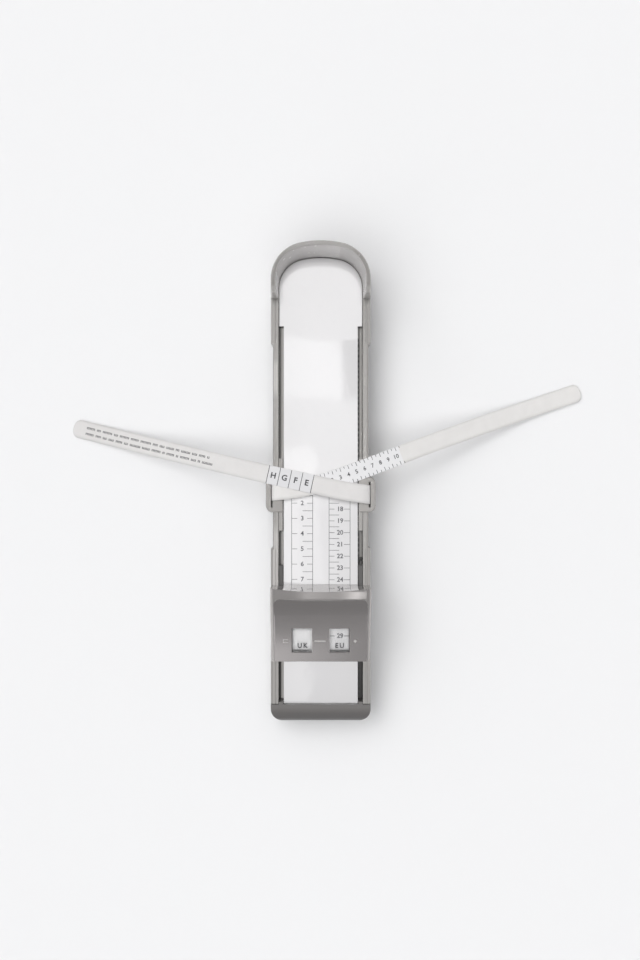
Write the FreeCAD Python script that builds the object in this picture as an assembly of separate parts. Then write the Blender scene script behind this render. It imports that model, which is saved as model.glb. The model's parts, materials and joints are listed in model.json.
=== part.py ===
"""Foot measuring device for children: a tray with a heel cup, a toe slider and two width tapes.

The foot stands on the plate with its heel in the cup.  The toe slider runs in two channels
beside the plate and is read through its windows.  The tape carrier runs along the narrow
part of the same rails, and its two tapes wrap round the foot.

X runs across the foot, Y towards the heel and Z up.  The origin is on the floor under the
middle of the tray's length.  All sizes are in millimetres.
"""
import FreeCAD, Part
import math
import os

V = FreeCAD.Vector

# ---- levels above the floor ---------------------------------------------------
pad_thickness = 1.8          # rubber pads that the tray stands on
skirt_gap = 0.6              # lower edge of the tray's skirt above the floor
bridge_floor_gap = 0.8       # tape carrier's bridge above the floor
bridge_thickness = 2.8
bridge_headroom = 0.6        # between the bridge and the underside of the rails
tray_floor = 1.6             # floor of the guide channels
channel_depth = 6.7          # from the plate's face to the floor of the channels
plate_thickness = 1.8
deck_thickness = 1.8         # shelf of the tray that carries the plate
rail_height = 6.0            # rails above the plate
cup_height = 35.0            # rim of the heel cup above the plate

# ---- plan of the tray ---------------------------------------------------------
base_length = 261.6          # end cap to the back of the heel cup
plate_width = 41.1           # between the guide channels
channel_width = 2.75
rail_width = 3.0             # rails where the tape carrier runs
shoulder_width = 1.2         # how much further out both end sections stand
cap_length = 9.9
toe_section_length = 86.5
heel_section_length = 25.1   # from the heel section's shoulder to the front of the cup
notch_setback = 10.6         # channels run this far into the heel section
cup_depth = 28.0             # front edge of the cup to its back
cup_top_radius = 50.35       # flattened arch of the cup's inner wall: back and corners
cup_corner_radius = 16.35
cup_draft_outside = 1.05     # the wall leans in by this much at its rim, and
cup_draft_inside = 0.7       # the inner face leans out by this much
cup_front_round = 6.0        # top corners of the cup's front edges
rim_bevel = 0.5
plate_gap = 0.35             # between the plate and the heel wall
rail_round = 1.3             # outer top edges of the end sections
narrow_rail_round = 0.6
shoulder_round = 0.8
rail_groove_width = 0.5      # fine line along the rails of the end sections
rail_groove_depth = 0.4
rail_groove_inset = 1.4      # from the rail's inner face
skirt_wall = 2.4
deck_wall = 1.75             # side walls of the deck, beside the channels
rib_thickness = 1.4
rib_spacing = 24.0

# ---- hooks below the rails ----------------------------------------------------
hook_reach = 1.2             # groove in the rail's inner face
hook_height = 2.4
hook_groove_drop = 0.1       # plate's face to the top of the groove, less the groove's slack
hook_slack = 0.2             # above and below the hooks

# ---- click rack ---------------------------------------------------------------
rack_height = 3.0
rack_floor_gap = 0.4
rack_seat = 0.8              # strip let into the side of the deck
tooth_height = 1.05
tooth_pitch = 2.93
rack_end_gap = 4.0           # from each end of the channel

# ---- end cap ------------------------------------------------------------------
cap_wall = 2.2
cap_corner_radius = 7.6
cap_nose_radius = 8.2        # rounded top edge at the very end
cap_tongue_length = 1.6      # tongues that close the channels
plate_tuck = 1.6             # the plate's end below the cap's lip
cap_screw_x = 10.0
cap_screw_setback = 5.1      # behind the parting line
cap_tab_length = 7.4         # tab of the tray that the cap is screwed to
cap_boss_half = 2.5          # half the width of the square posts for the screws
cap_screw_length = 8.0

# ---- toe slider ---------------------------------------------------------------
slider_gap = 0.2             # above the rails
slider_plate_gap = 0.4       # above the plate
slider_half_width = 27.1
toe_stop_setback = 20.6      # foot of the toe stop's face behind the toe section's shoulder
toe_stop_lean = 2.0          # top of the face behind its foot, in the middle
slider_length = 41.5
slider_wall = 2.0
slider_roof = 2.7
saddle_crest = 28.0          # highest line of the saddle above the plate
crest_setback = 4.6          # behind the foot of the face
crest_radius = 20.7          # along the slider; a straight slope follows behind it
saddle_rear_height = 10.6    # middle of the rear edge above the plate
shoulder_radius = 2.5
panel_half_width = 25.3
panel_setback = 5.8          # front corners of the panel behind the foot of the face
panel_front_bow = 1.0        # its front edge curves back by this much in the middle
panel_corner_radius = 3.3
panel_thickness = 1.2
panel_gap = 0.12
window_width = 11.05
window_length = 13.8
window_x = 10.25
window_setback = 22.3        # heel-side edge behind the foot of the face
well_wall = 1.2
lens_height = 4.0            # upper face above the plate
lens_thickness = 1.2
lens_ledge = 0.45
lens_gap = 0.05

# ---- runners of the toe slider ------------------------------------------------
guide_gap = 0.2              # runner or shoe to the rail's inner face
plate_side_gap = 0.4         # runner or shoe to the plate's edge
runner_lead = 10.6           # runners reach this far ahead of the toe stop
runner_length = 48.0
runner_nose_height = 2.3     # top of the runner's front end above the plate
flange_width = 7.3
flange_thickness = 2.0
flange_height = 2.1          # underside above the plate
flange_length = 12.0
flange_setback = 3.4
runner_screw_inset = 2.8     # from the flange's free edge
runner_boss_radius = 2.4
runner_screw_length = 8.5
spring_thickness = 0.8
spring_height = 2.6
spring_length = 36.0
spring_foot_length = 9.0
spring_nose_length = 4.6
spring_tooth_gap = 0.15      # nose drawn lifted to the crest of the teeth

# ---- tape carrier -------------------------------------------------------------
carrier_ahead = 29.25        # middle of the brackets ahead of the toe section's shoulder
bracket_length = 19.5
bracket_top = 1.4
bracket_reach = 3.9          # outer face beyond the narrow rails
bracket_corner_radius = 3.8
bracket_edge_bevel = 0.6
slot_gap = 0.1               # between the rail and the slot
slot_width = 1.0
slot_length = 14.1
shoe_length = 39.7
bridge_screw_radius = 0.6
bridge_screw_length = 9.0
bridge_screw_out = 0.85      # outwards from the middle of the slot
bridge_screw_inset = 1.75    # from the bracket's toe end
bridge_head_radius = 1.1
bridge_head_height = 0.9
rub_strip_gap = 0.1          # between the bridge's rub strips and the tray
rub_strip_width = 5.0
anchor_width = 3.0
anchor_length = 10.4
anchor_height = 1.6
anchor_gap = 0.2
carrier_stop_gap = 0.5

# ---- tapes --------------------------------------------------------------------
number_tape_shift = 1.8      # the number tape leaves its slot nearer the heel
tape_width = 10.2
tape_thickness = 0.4
tape_end_radius = 4.0
letter_tape_reach = 139.5    # free end from the middle of the tray
letter_tape_sweep = 37.75    # free end nearer the heel than its slot
letter_tape_crest = 27.6     # above the floor, where it bends over beside its slot
number_tape_reach = 146.5
number_tape_sweep = 56.05
number_tape_crest = 24.3
tape_tip_height = 0.75       # middle of the tape's thickness at its free end

# ---- screws and pads ----------------------------------------------------------
screw_radius = 1.05
screw_hole_gap = 0.2
screw_head_radius = 1.9
screw_head_height = 1.3
pad_length = 11.0
pad_width = 7.0
pad_boss_margin = 0.9
pad_x = 14.0
pad_inset = 21.0             # from both ends of the tray

# ---- places worked out from the sizes -----------------------------------------
bridge_top = bridge_floor_gap + bridge_thickness
tray_under = bridge_top + bridge_headroom
channel_floor = tray_under + tray_floor
plate_top = channel_floor + channel_depth
deck_top = plate_top - plate_thickness
deck_under = deck_top - deck_thickness
rail_top = plate_top + rail_height
rim_z = plate_top + cup_height

plate_half = plate_width / 2
inner_half = plate_half + channel_width
narrow_half = inner_half + rail_width
end_half = narrow_half + shoulder_width
end_wall = end_half - inner_half

heel_y = base_length / 2
tray_end_y = -heel_y + cap_length
toe_shoulder_y = tray_end_y + toe_section_length
cup_front_y = heel_y - cup_depth
heel_shoulder_y = cup_front_y - heel_section_length
channel_end_y = heel_shoulder_y + notch_setback
skirt_hollow_half = end_half - skirt_wall

hook_top = plate_top - hook_groove_drop
hook_bottom = hook_top - hook_height
guide_outer = inner_half - guide_gap
guide_inner = plate_half + plate_side_gap

rack_bottom = channel_floor + rack_floor_gap
rack_tip = plate_half + tooth_height

toe_stop_y = toe_shoulder_y - toe_stop_setback
slider_bottom = rail_top + slider_gap
slider_rear_y = toe_stop_y - slider_length
runner_front_y = toe_stop_y + runner_lead

carrier_y = toe_shoulder_y + carrier_ahead
bracket_under = rail_top + slider_gap
bracket_z = bracket_under + bracket_top
bracket_outer = narrow_half + bracket_reach
slot_inner = narrow_half + slot_gap
slot_outer = slot_inner + slot_width
slot_centre = (slot_inner + slot_outer) / 2
letter_root_y = carrier_y
number_root_y = carrier_y + number_tape_shift

BIG = 400.0                  # longer than anything here, for cutting and trimming
PAST = 1.0                   # how far a cutter runs past the face that it opens


# ---- small helpers ------------------------------------------------------------
def box(x0, x1, y0, y1, z0, z1):
    """A box between two corners."""
    return Part.makeBox(x1 - x0, y1 - y0, z1 - z0, V(x0, y0, z0))


def upright(radius, x, y, z0, z1):
    """A vertical cylinder."""
    return Part.makeCylinder(radius, z1 - z0, V(x, y, z0))


def mirrored(shape):
    """The same shape on the other side of the foot."""
    return shape.mirror(V(0, 0, 0), V(1, 0, 0))


def both_sides(shape):
    """The shape and its mirror image, as a list."""
    return [shape, mirrored(shape)]


def fused(shapes):
    """One clean solid from shapes that meet or overlap."""
    return shapes[0].fuse(list(shapes[1:])).removeSplitter()


def prism(wire, height):
    """A solid pulled straight up from a flat closed wire."""
    return Part.Face(wire).extrude(V(0, 0, height))


def side_prism(points, half_width):
    """A solid whose outline is given by (y, z) points, across the whole width."""
    wire = Part.makePolygon([V(-half_width, y, z) for y, z in points + points[:1]])
    return Part.Face(wire).extrude(V(2 * half_width, 0, 0))


def edges_where(shape, test):
    """Edges whose two ends both pass the test."""
    return [e for e in shape.Edges if all(test(v.Point) for v in e.Vertexes)]


def near(a, b):
    """True where two sizes are the same."""
    return abs(a - b) < 1e-4


def arch_edges(half, top_radius, corner_radius, spring, place):
    """Corner, top and corner arc of a flattened arch.

    The arch springs at the given level from sides half apart from the middle, and
    place(u, v) turns its flat coordinates into a point in space.
    """
    offset = half - corner_radius
    reach = top_radius - corner_radius
    top_centre = spring - math.sqrt(reach ** 2 - offset ** 2)
    along = offset / reach
    up = (spring - top_centre) / reach
    join = (top_radius * along, top_centre + top_radius * up)
    middle_angle = (math.atan2(up, along)) / 2
    middle = (offset + corner_radius * math.cos(middle_angle),
              spring + corner_radius * math.sin(middle_angle))
    right = Part.Arc(place(half, spring), place(*middle), place(*join))
    top = Part.Arc(place(*join), place(0, top_centre + top_radius), place(-join[0], join[1]))
    left = Part.Arc(place(-join[0], join[1]), place(-middle[0], middle[1]), place(-half, spring))
    return [arc.toShape() for arc in (right, top, left)]


def arch_apex(half, top_radius, corner_radius, spring):
    """Level of the highest point of the same arch."""
    rise = math.sqrt((top_radius - corner_radius) ** 2 - (half - corner_radius) ** 2)
    return spring - rise + top_radius


# the outer wall's apex is at the heel end, and all the heel's arches share one centre
heel_spring_y = heel_y - (arch_apex(end_half, cup_top_radius + end_wall,
                                    cup_corner_radius + end_wall, 0.0))


def heel_outline(offset, y_end, z):
    """Closed outline of the heel, offset outwards from the cup's inner wall."""
    half = inner_half + offset
    arcs = arch_edges(half, cup_top_radius + offset, cup_corner_radius + offset,
                      heel_spring_y, lambda x, y: V(x, y, z))
    sides = [Part.makeLine(V(-half, heel_spring_y, z), V(-half, y_end, z)),
             Part.makeLine(V(-half, y_end, z), V(half, y_end, z)),
             Part.makeLine(V(half, y_end, z), V(half, heel_spring_y, z))]
    return Part.Wire(arcs + sides)


def rounded_plan(x0, x1, y0, y1, z0, z1, radius, test):
    """A box with its upright edges rounded where the test holds for (x, y)."""
    block = box(x0, x1, y0, y1, z0, z1)
    upright_edges = [e for e in block.Edges
                     if near(e.Vertexes[0].X, e.Vertexes[1].X)
                     and near(e.Vertexes[0].Y, e.Vertexes[1].Y)
                     and test(e.Vertexes[0].X, e.Vertexes[0].Y)]
    return block.makeFillet(radius, upright_edges)


def pan_screw(x, y, z_head, length, radius, head_radius, head_height):
    """A screw driven upwards: its head hangs below z_head."""
    head = upright(head_radius, x, y, z_head - head_height, z_head)
    return fused([head, upright(radius, x, y, z_head, z_head + length)])


# ---- base -----------------------------------------------------------------------
def make_heel_cup():
    """Raised wall of the heel cup, leaning in outside and out inside, open to the front."""
    outside = Part.makeLoft([heel_outline(end_wall, cup_front_y, rail_top),
                             heel_outline(end_wall - cup_draft_outside, cup_front_y, rim_z)],
                            True, True)
    inside = Part.makeLoft([heel_outline(0, cup_front_y - PAST, rail_top),
                            heel_outline(cup_draft_inside, cup_front_y - PAST, rim_z)],
                           True, True)
    wall = outside.cut(inside)
    profile = box(-BIG, BIG, cup_front_y, BIG, rail_top - PAST, rim_z)
    front_edges = edges_where(profile, lambda p: near(p.y, cup_front_y) and near(p.z, rim_z))
    wall = wall.common(profile.makeFillet(cup_front_round, front_edges))
    rim_edges = [e for e in wall.Edges if near(e.BoundBox.ZMin, rim_z)
                 and e.BoundBox.YMax > cup_front_y + cup_front_round + PAST]
    return wall.makeChamfer(rim_bevel, rim_edges)


def make_end_section(y0, y1, shoulder_y):
    """One wide end of the tray, with its long top edges and its shoulder rounded."""
    block = box(-end_half, end_half, y0, y1, skirt_gap, rail_top)
    shoulder = edges_where(block, lambda p: near(p.y, shoulder_y) and not near(p.x, 0))
    shoulder = [e for e in shoulder if near(e.Vertexes[0].X, e.Vertexes[1].X)]
    block = block.makeFillet(shoulder_round, shoulder)
    top_edges = [e for e in block.Edges if near(e.BoundBox.ZMin, rail_top)
                 and e.BoundBox.YLength > (y1 - y0) / 2]
    return block.makeFillet(rail_round, top_edges)


def make_tray_cutters():
    """Everything that is hollow in the tray: the bed of the plate, channels and underside."""
    cutters = [prism(heel_outline(0, tray_end_y - PAST, deck_top), rim_z)]
    channel = box(plate_half, inner_half, tray_end_y - PAST, channel_end_y,
                  channel_floor, deck_top + PAST)
    hook_groove = box(inner_half - PAST, inner_half + hook_reach + hook_slack,
                      tray_end_y - PAST, channel_end_y,
                      hook_bottom - hook_slack, hook_top + hook_slack)
    groove_x = inner_half + rail_groove_inset
    for y0, y1 in ((tray_end_y - PAST, toe_shoulder_y - shoulder_round),
                   (heel_shoulder_y + shoulder_round, cup_front_y)):
        line = box(groove_x - rail_groove_width / 2, groove_x + rail_groove_width / 2,
                   y0, y1, rail_top - rail_groove_depth, rail_top + PAST)
        cutters += both_sides(line)
    cutters += both_sides(channel) + both_sides(hook_groove)

    deck_hollow_half = plate_half - deck_wall
    cutters.append(box(-deck_hollow_half, deck_hollow_half, tray_end_y + skirt_wall,
                       channel_end_y, -PAST, deck_under))
    hollow_outline = heel_outline(end_wall - skirt_wall, channel_end_y + skirt_wall, -PAST)
    cutters.append(prism(hollow_outline, deck_under + PAST))
    for y0, y1 in ((tray_end_y + skirt_wall, toe_shoulder_y - skirt_wall),
                   (heel_shoulder_y + skirt_wall, channel_end_y + skirt_wall)):
        cutters.append(box(-skirt_hollow_half, skirt_hollow_half, y0, y1, -PAST, tray_under))
    return cutters


def make_base_tray():
    """One moulding: heel cup, end sections, rails, channels, deck and the ribs below it."""
    narrow_y0 = toe_shoulder_y - shoulder_round - PAST
    narrow_y1 = heel_shoulder_y + shoulder_round + PAST
    narrow = box(-narrow_half, narrow_half, narrow_y0, narrow_y1, tray_under, rail_top)
    long_top = [e for e in narrow.Edges
                if near(e.BoundBox.ZMin, rail_top) and e.BoundBox.YLength > PAST]
    narrow = narrow.makeFillet(narrow_rail_round, long_top)
    heel_block = prism(heel_outline(end_wall, cup_front_y, skirt_gap), rail_top - skirt_gap)
    tray = fused([make_end_section(tray_end_y, toe_shoulder_y, toe_shoulder_y),
                  narrow,
                  make_end_section(heel_shoulder_y, cup_front_y, heel_shoulder_y),
                  heel_block])
    for cutter in make_tray_cutters():
        tray = tray.cut(cutter)

    deck_hollow_half = plate_half - deck_wall
    ribs = []
    rib_count = int((channel_end_y - tray_end_y) / rib_spacing)
    rib_pitch = (channel_end_y - tray_end_y) / (rib_count + 1)
    for i in range(1, rib_count + 1):
        y = tray_end_y + i * rib_pitch
        ribs.append(box(-deck_hollow_half, deck_hollow_half, y - rib_thickness / 2,
                        y + rib_thickness / 2, tray_under, deck_under))
    heel_rib_y = (channel_end_y + heel_y) / 2
    heel_hollow = prism(heel_outline(end_wall - skirt_wall / 2, channel_end_y, tray_under),
                        deck_under - tray_under)
    cross_rib = box(-BIG, BIG, heel_rib_y - rib_thickness / 2, heel_rib_y + rib_thickness / 2,
                    tray_under, deck_under)
    ribs.append(cross_rib.common(heel_hollow))
    ribs.append(box(-rib_thickness / 2, rib_thickness / 2, tray_end_y + skirt_wall,
                    heel_y - skirt_wall, tray_under, deck_under))
    ribs += pad_blocks(pad_boss_margin, pad_thickness, deck_under)
    tab = box(-cap_screw_x - cap_boss_half - cap_wall, cap_screw_x + cap_boss_half + cap_wall,
              tray_end_y - cap_tab_length, tray_end_y + skirt_wall, tray_under, channel_floor)
    tray = fused([tray, make_heel_cup(), tab] + ribs)

    for x in (-cap_screw_x, cap_screw_x):
        hole = upright(screw_radius + screw_hole_gap, x, tray_end_y - cap_screw_setback,
                       tray_under - PAST, channel_floor + PAST)
        tray = tray.cut(hole)
    return tray.cut(rack_strip())


def rack_strip():
    """The plain strip of the click rack, let into the right side of the deck."""
    return box(plate_half - rack_seat, plate_half, tray_end_y + rack_end_gap,
               channel_end_y - rack_end_gap, rack_bottom, rack_bottom + rack_height)


def make_click_rack():
    """Strip with teeth that point across the right channel."""
    y0 = tray_end_y + rack_end_gap
    count = int((channel_end_y - rack_end_gap - y0) / tooth_pitch)
    points = [V(plate_half - rack_seat, y0, rack_bottom)]
    for i in range(count):
        start = y0 + i * tooth_pitch
        points.append(V(plate_half, start, rack_bottom))
        points.append(V(rack_tip, start + tooth_pitch * 0.45, rack_bottom))
        points.append(V(rack_tip, start + tooth_pitch * 0.55, rack_bottom))
    y1 = channel_end_y - rack_end_gap
    points += [V(plate_half, y0 + count * tooth_pitch, rack_bottom),
               V(plate_half, y1, rack_bottom), V(plate_half - rack_seat, y1, rack_bottom)]
    return prism(Part.makePolygon(points + points[:1]), rack_height)


def make_foot_plate():
    """White plate: round at the heel and notched where the channels start."""
    plate = prism(heel_outline(-plate_gap, tray_end_y - plate_tuck, deck_top), plate_thickness)
    notch = box(plate_half, inner_half + PAST, tray_end_y - plate_tuck - PAST, channel_end_y,
                deck_top - PAST, plate_top + PAST)
    for cutter in both_sides(notch):
        plate = plate.cut(cutter)
    return plate


def pad_blocks(margin, z0, z1):
    """Four blocks on the places of the rubber pads, grown by a margin."""
    half_x, half_y = pad_width / 2 + margin, pad_length / 2 + margin
    return [box(x - half_x, x + half_x, y - half_y, y + half_y, z0, z1)
            for x in (-pad_x, pad_x) for y in (-heel_y + pad_inset, heel_y - pad_inset)]


def make_foot_pads():
    """Four rubber pads, stuck to the bosses below the tray."""
    return Part.makeCompound(pad_blocks(0, 0, pad_thickness))


def cap_outer(inset):
    """Outer form of the end cap, or of its hollow when inset."""
    half = end_half - inset
    y0 = -heel_y + inset
    top = rail_top - inset
    plan = rounded_plan(-half, half, y0, tray_end_y, skirt_gap, top,
                        cap_corner_radius - inset, lambda x, y: near(y, y0))
    profile = box(-BIG, BIG, y0, tray_end_y + PAST, -PAST, top)
    nose = edges_where(profile, lambda p: near(p.y, y0) and near(p.z, top))
    return plan.common(profile.makeFillet(cap_nose_radius - inset, nose))


def make_end_cap():
    """Hollow cap over the plate's end, with tongues that close the channels."""
    cap = cap_outer(0)
    hollow = cap_outer(cap_wall).common(box(-BIG, BIG, -BIG, tray_end_y - cap_wall, -PAST, BIG))
    hollow = hollow.fuse(hollow.translated(V(0, 0, -cap_wall)))
    cap = cap.cut(hollow)
    mouth = box(-plate_half - plate_gap / 2, plate_half + plate_gap / 2,
                tray_end_y - cap_wall - PAST, tray_end_y + PAST, -PAST, plate_top + plate_gap / 2)
    cap = cap.cut(mouth)
    tongue = box(plate_half + plate_gap / 2, inner_half - plate_gap / 2,
                 tray_end_y, tray_end_y + cap_tongue_length,
                 channel_floor + plate_gap / 2, rail_top)
    post_y = tray_end_y - cap_screw_setback
    post = box(cap_screw_x - cap_boss_half, cap_screw_x + cap_boss_half,
               post_y - cap_boss_half, post_y + cap_boss_half, channel_floor, rail_top)
    post = post.common(cap_outer(cap_wall / 2))
    cap = fused([cap] + both_sides(tongue) + both_sides(post))
    for x in (-cap_screw_x, cap_screw_x):
        cap = cap.cut(upright(screw_radius, x, tray_end_y - cap_screw_setback,
                              channel_floor - PAST, tray_under + cap_screw_length))
    return cap


def make_cap_screws():
    """Two screws from below, through the tray's tab into the cap."""
    return Part.makeCompound([
        pan_screw(x, tray_end_y - cap_screw_setback, tray_under, cap_screw_length,
                  screw_radius, screw_head_radius, screw_head_height)
        for x in (-cap_screw_x, cap_screw_x)])


# ---- toe slider -------------------------------------------------------------------
slope_angle = (math.asin(crest_radius / math.hypot(slider_length - crest_setback,
                                                  saddle_rear_height - saddle_crest + crest_radius))
               - math.atan2(saddle_rear_height - saddle_crest + crest_radius,
                            slider_length - crest_setback))


def swept_saddle(outline):
    """An outline across the slider, swept over the crest and down the slope behind it.

    The outline is a closed wire that stands above the crest and ends on the crest's axis.
    """
    crest_y = toe_stop_y - crest_setback
    axis_z = plate_top + saddle_crest - crest_radius
    axis_point, axis = V(0, crest_y, axis_z), V(1, 0, 0)
    slope_degrees = math.degrees(slope_angle)
    ahead = Part.Face(outline).rotated(axis_point, axis, -90)
    nose = ahead.revolve(axis_point, axis, 90 + slope_degrees)
    slope = Part.Face(outline).rotated(axis_point, axis, slope_degrees)
    slope = slope.extrude(V(0, -math.cos(slope_angle), -math.sin(slope_angle)) * 2 * slider_length)
    half = max(abs(v.X) for v in outline.Vertexes)
    foot_y = crest_y - (axis_z - plate_top) / math.tan(slope_angle)
    core = side_prism([(toe_stop_y + crest_radius, plate_top), (toe_stop_y + crest_radius, axis_z),
                       (crest_y, axis_z), (foot_y, plate_top)], half)
    return fused([nose, slope, core])


def saddle_form():
    """The saddle's outer form: upright sides, round shoulders and a top that is flat across."""
    crest_y = toe_stop_y - crest_setback
    crest_z = plate_top + saddle_crest
    axis_z = crest_z - crest_radius
    half = slider_half_width
    flat_half = half - shoulder_radius
    middle = shoulder_radius * math.sqrt(0.5)
    shoulder_z = crest_z - shoulder_radius
    shoulders = [Part.Arc(V(side * half, crest_y, shoulder_z),
                          V(side * (flat_half + middle), crest_y, shoulder_z + middle),
                          V(side * flat_half, crest_y, crest_z)).toShape() for side in (1, -1)]
    lines = Part.makePolygon([V(-half, crest_y, shoulder_z), V(-half, crest_y, axis_z),
                              V(half, crest_y, axis_z), V(half, crest_y, shoulder_z)])
    top = Part.makeLine(V(flat_half, crest_y, crest_z), V(-flat_half, crest_y, crest_z))
    return swept_saddle(Part.Wire([shoulders[0], top, shoulders[1]] + lines.Edges))


def saddle_hollow():
    """The hollow below the saddle, with bevelled upper corners."""
    crest_y = toe_stop_y - crest_setback
    axis_z = plate_top + saddle_crest - crest_radius
    half = slider_half_width - slider_wall
    roof_z = plate_top + saddle_crest - slider_roof
    right = [(half - shoulder_radius, roof_z), (half, roof_z - shoulder_radius), (half, axis_z)]
    points = right + [(-x, z) for x, z in reversed(right)]
    hollow = swept_saddle(Part.makePolygon([V(x, crest_y, z) for x, z in points + points[:1]]))
    return hollow.common(box(-BIG, BIG, slider_rear_y + slider_wall,
                             toe_stop_y - toe_stop_lean - slider_wall / 2, -BIG, BIG))


def toe_stop_cutter():
    """All that lies ahead of the toe stop: a face with a straight foot and a curved top."""
    reach = slider_half_width + PAST
    ahead = toe_stop_y + 2 * crest_radius
    top_z = plate_top + saddle_crest
    rise = top_z - plate_top

    def outline(z):
        setback = toe_stop_lean * (z - plate_top) / rise
        near_edge = Part.Arc(V(-reach, toe_stop_y, z), V(0, toe_stop_y - setback, z),
                             V(reach, toe_stop_y, z)).toShape()
        rest = Part.makePolygon([V(reach, toe_stop_y, z), V(reach, ahead, z),
                                 V(-reach, ahead, z), V(-reach, toe_stop_y, z)])
        return Part.Wire([near_edge] + rest.Edges)

    return Part.makeLoft([outline(plate_top + slider_plate_gap / 4), outline(top_z + PAST)],
                         True, True)


def window_boxes(margin, z0, z1):
    """Two boxes on the windows, grown by a margin."""
    y1 = toe_stop_y - window_setback + margin
    y0 = toe_stop_y - window_setback - window_length - margin
    half = window_width / 2 + margin
    right = box(window_x - half, window_x + half, y0, y1, z0, z1)
    return both_sides(right)


def panel_prism(gap):
    """Plan of the inlaid panel with its bowed front edge, pulled up through the whole saddle."""
    front = toe_stop_y - panel_setback + gap
    rear = slider_rear_y - PAST
    half = panel_half_width + gap
    bowed = Part.Arc(V(half, front, plate_top), V(0, front - panel_front_bow, plate_top),
                     V(-half, front, plate_top)).toShape()
    rest = Part.makePolygon([V(-half, front, plate_top), V(-half, rear, plate_top),
                             V(half, rear, plate_top), V(half, front, plate_top)])
    block = prism(Part.Wire([bowed] + rest.Edges), cup_height)
    corners = [e for e in block.Edges if near(e.Length, cup_height)
               and near(e.Vertexes[0].Y, front)]
    return block.makeFillet(panel_corner_radius + gap, corners)


def runner_screw_place():
    """Screw place of the right runner."""
    return (guide_inner - flange_width + runner_screw_inset,
            toe_stop_y - flange_setback - flange_length / 2)


def make_toe_slider_body():
    """Saddle moulding with the toe stop, window wells and bosses for the runners' screws."""
    form = saddle_form()
    form = form.common(box(-BIG, BIG, slider_rear_y, BIG, plate_top, BIG))
    above_rails = box(-BIG, BIG, -BIG, BIG, slider_bottom, BIG)
    between = box(-plate_half + slider_gap, plate_half - slider_gap, -BIG, BIG,
                  plate_top + slider_plate_gap, BIG)
    keep = above_rails.fuse(between)
    shell = form.cut(saddle_hollow())
    lens_z = plate_top + lens_height
    well_bottom = lens_z - lens_thickness
    wells = [w.common(form) for w in window_boxes(well_wall + lens_ledge, well_bottom, rim_z)]
    flange_top = plate_top + flange_height + flange_thickness
    x, y = runner_screw_place()
    bosses = both_sides(upright(runner_boss_radius, x, y, flange_top,
                                plate_top + saddle_crest - slider_roof))
    body = fused([shell] + wells + bosses).common(keep).cut(toe_stop_cutter())
    for cutter in (window_boxes(0, 0, rim_z)
                   + window_boxes(lens_ledge + lens_gap, 0, lens_z)):
        body = body.cut(cutter)
    core = upright(screw_radius, x, y, flange_top - PAST,
                   plate_top + flange_height + runner_screw_length)
    for cutter in both_sides(core):
        body = body.cut(cutter)
    return body.cut(panel_prism(panel_gap).cut(saddle_form().translated(V(0, 0, -panel_thickness))))


def make_toe_slider_panel():
    """Dark panel that follows the saddle's top, open over the two windows."""
    form = saddle_form()
    panel = panel_prism(0).common(form).cut(form.translated(V(0, 0, -panel_thickness)))
    panel = panel.common(box(-BIG, BIG, slider_rear_y, BIG, plate_top, BIG))
    for cutter in window_boxes(0, 0, rim_z):
        panel = panel.cut(cutter)
    return panel


def make_window_lens(side):
    """Clear lens at the bottom of one well: side -1 for the left, 1 for the right."""
    lens_z = plate_top + lens_height
    right, left = window_boxes(lens_ledge, lens_z - lens_thickness, lens_z)
    return right if side > 0 else left


def make_runner():
    """Right runner: a leg in the channel, a hook below the rail and a flange for the screws."""
    y0 = runner_front_y - runner_length
    leg = box(guide_inner, guide_outer, y0, runner_front_y, hook_bottom,
              plate_top + runner_nose_height)
    tall = box(guide_inner, guide_outer, y0, toe_stop_y - slider_gap, hook_bottom,
               slider_bottom - slider_gap / 2)
    hook = box(guide_outer, inner_half + hook_reach, y0, runner_front_y, hook_bottom, hook_top)
    flange_z = plate_top + flange_height
    flange_y1 = toe_stop_y - flange_setback
    flange = rounded_plan(guide_inner - flange_width, guide_inner, flange_y1 - flange_length,
                          flange_y1, flange_z, flange_z + flange_thickness,
                          runner_screw_inset, lambda x, y: x < guide_inner - PAST)
    runner = fused([leg, tall, hook, flange])
    x, y = runner_screw_place()
    return runner.cut(upright(screw_radius + screw_hole_gap, x, y, flange_z - PAST,
                              flange_z + flange_thickness + PAST))


def make_runner_screws():
    """Two screws from below, through the runners' flanges into the saddle's bosses."""
    x, y = runner_screw_place()
    screw = pan_screw(x, y, plate_top + flange_height, runner_screw_length, screw_radius,
                      screw_head_radius, screw_head_height)
    return Part.makeCompound(both_sides(screw))


def make_click_spring():
    """Leaf below the right runner, with a foot at the back and a pointed nose at the rack."""
    outer = guide_outer - guide_gap
    inner = outer - spring_thickness
    tip = rack_tip + spring_tooth_gap
    nose_y = runner_front_y + spring_nose_length / 2
    z0 = rack_bottom + slider_gap
    tail_y = nose_y - spring_length
    points = [V(outer, tail_y, z0), V(outer, nose_y, z0), V(inner, nose_y, z0),
              V(tip, nose_y - spring_nose_length * 0.4, z0),
              V(tip, nose_y - spring_nose_length * 0.6, z0),
              V(inner, nose_y - spring_nose_length, z0), V(inner, tail_y, z0)]
    leaf = prism(Part.makePolygon(points + points[:1]), spring_height)
    foot = box(inner, outer, tail_y, tail_y + spring_foot_length, z0, hook_bottom)
    return fused([leaf, foot])


# ---- tape carrier -------------------------------------------------------------------
def carrier_block(z0, z1, x0, x1, radius_test):
    """A block of the carrier's plan, with rounded outer corners."""
    return rounded_plan(x0, x1, carrier_y - bracket_length / 2, carrier_y + bracket_length / 2,
                        z0, z1, bracket_corner_radius, radius_test)


def bridge_screw_place():
    """Screw place on the right, beside the toe end of the bracket's slot."""
    return (slot_centre + bridge_screw_out,
            carrier_y - bracket_length / 2 + bridge_screw_inset)


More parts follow.
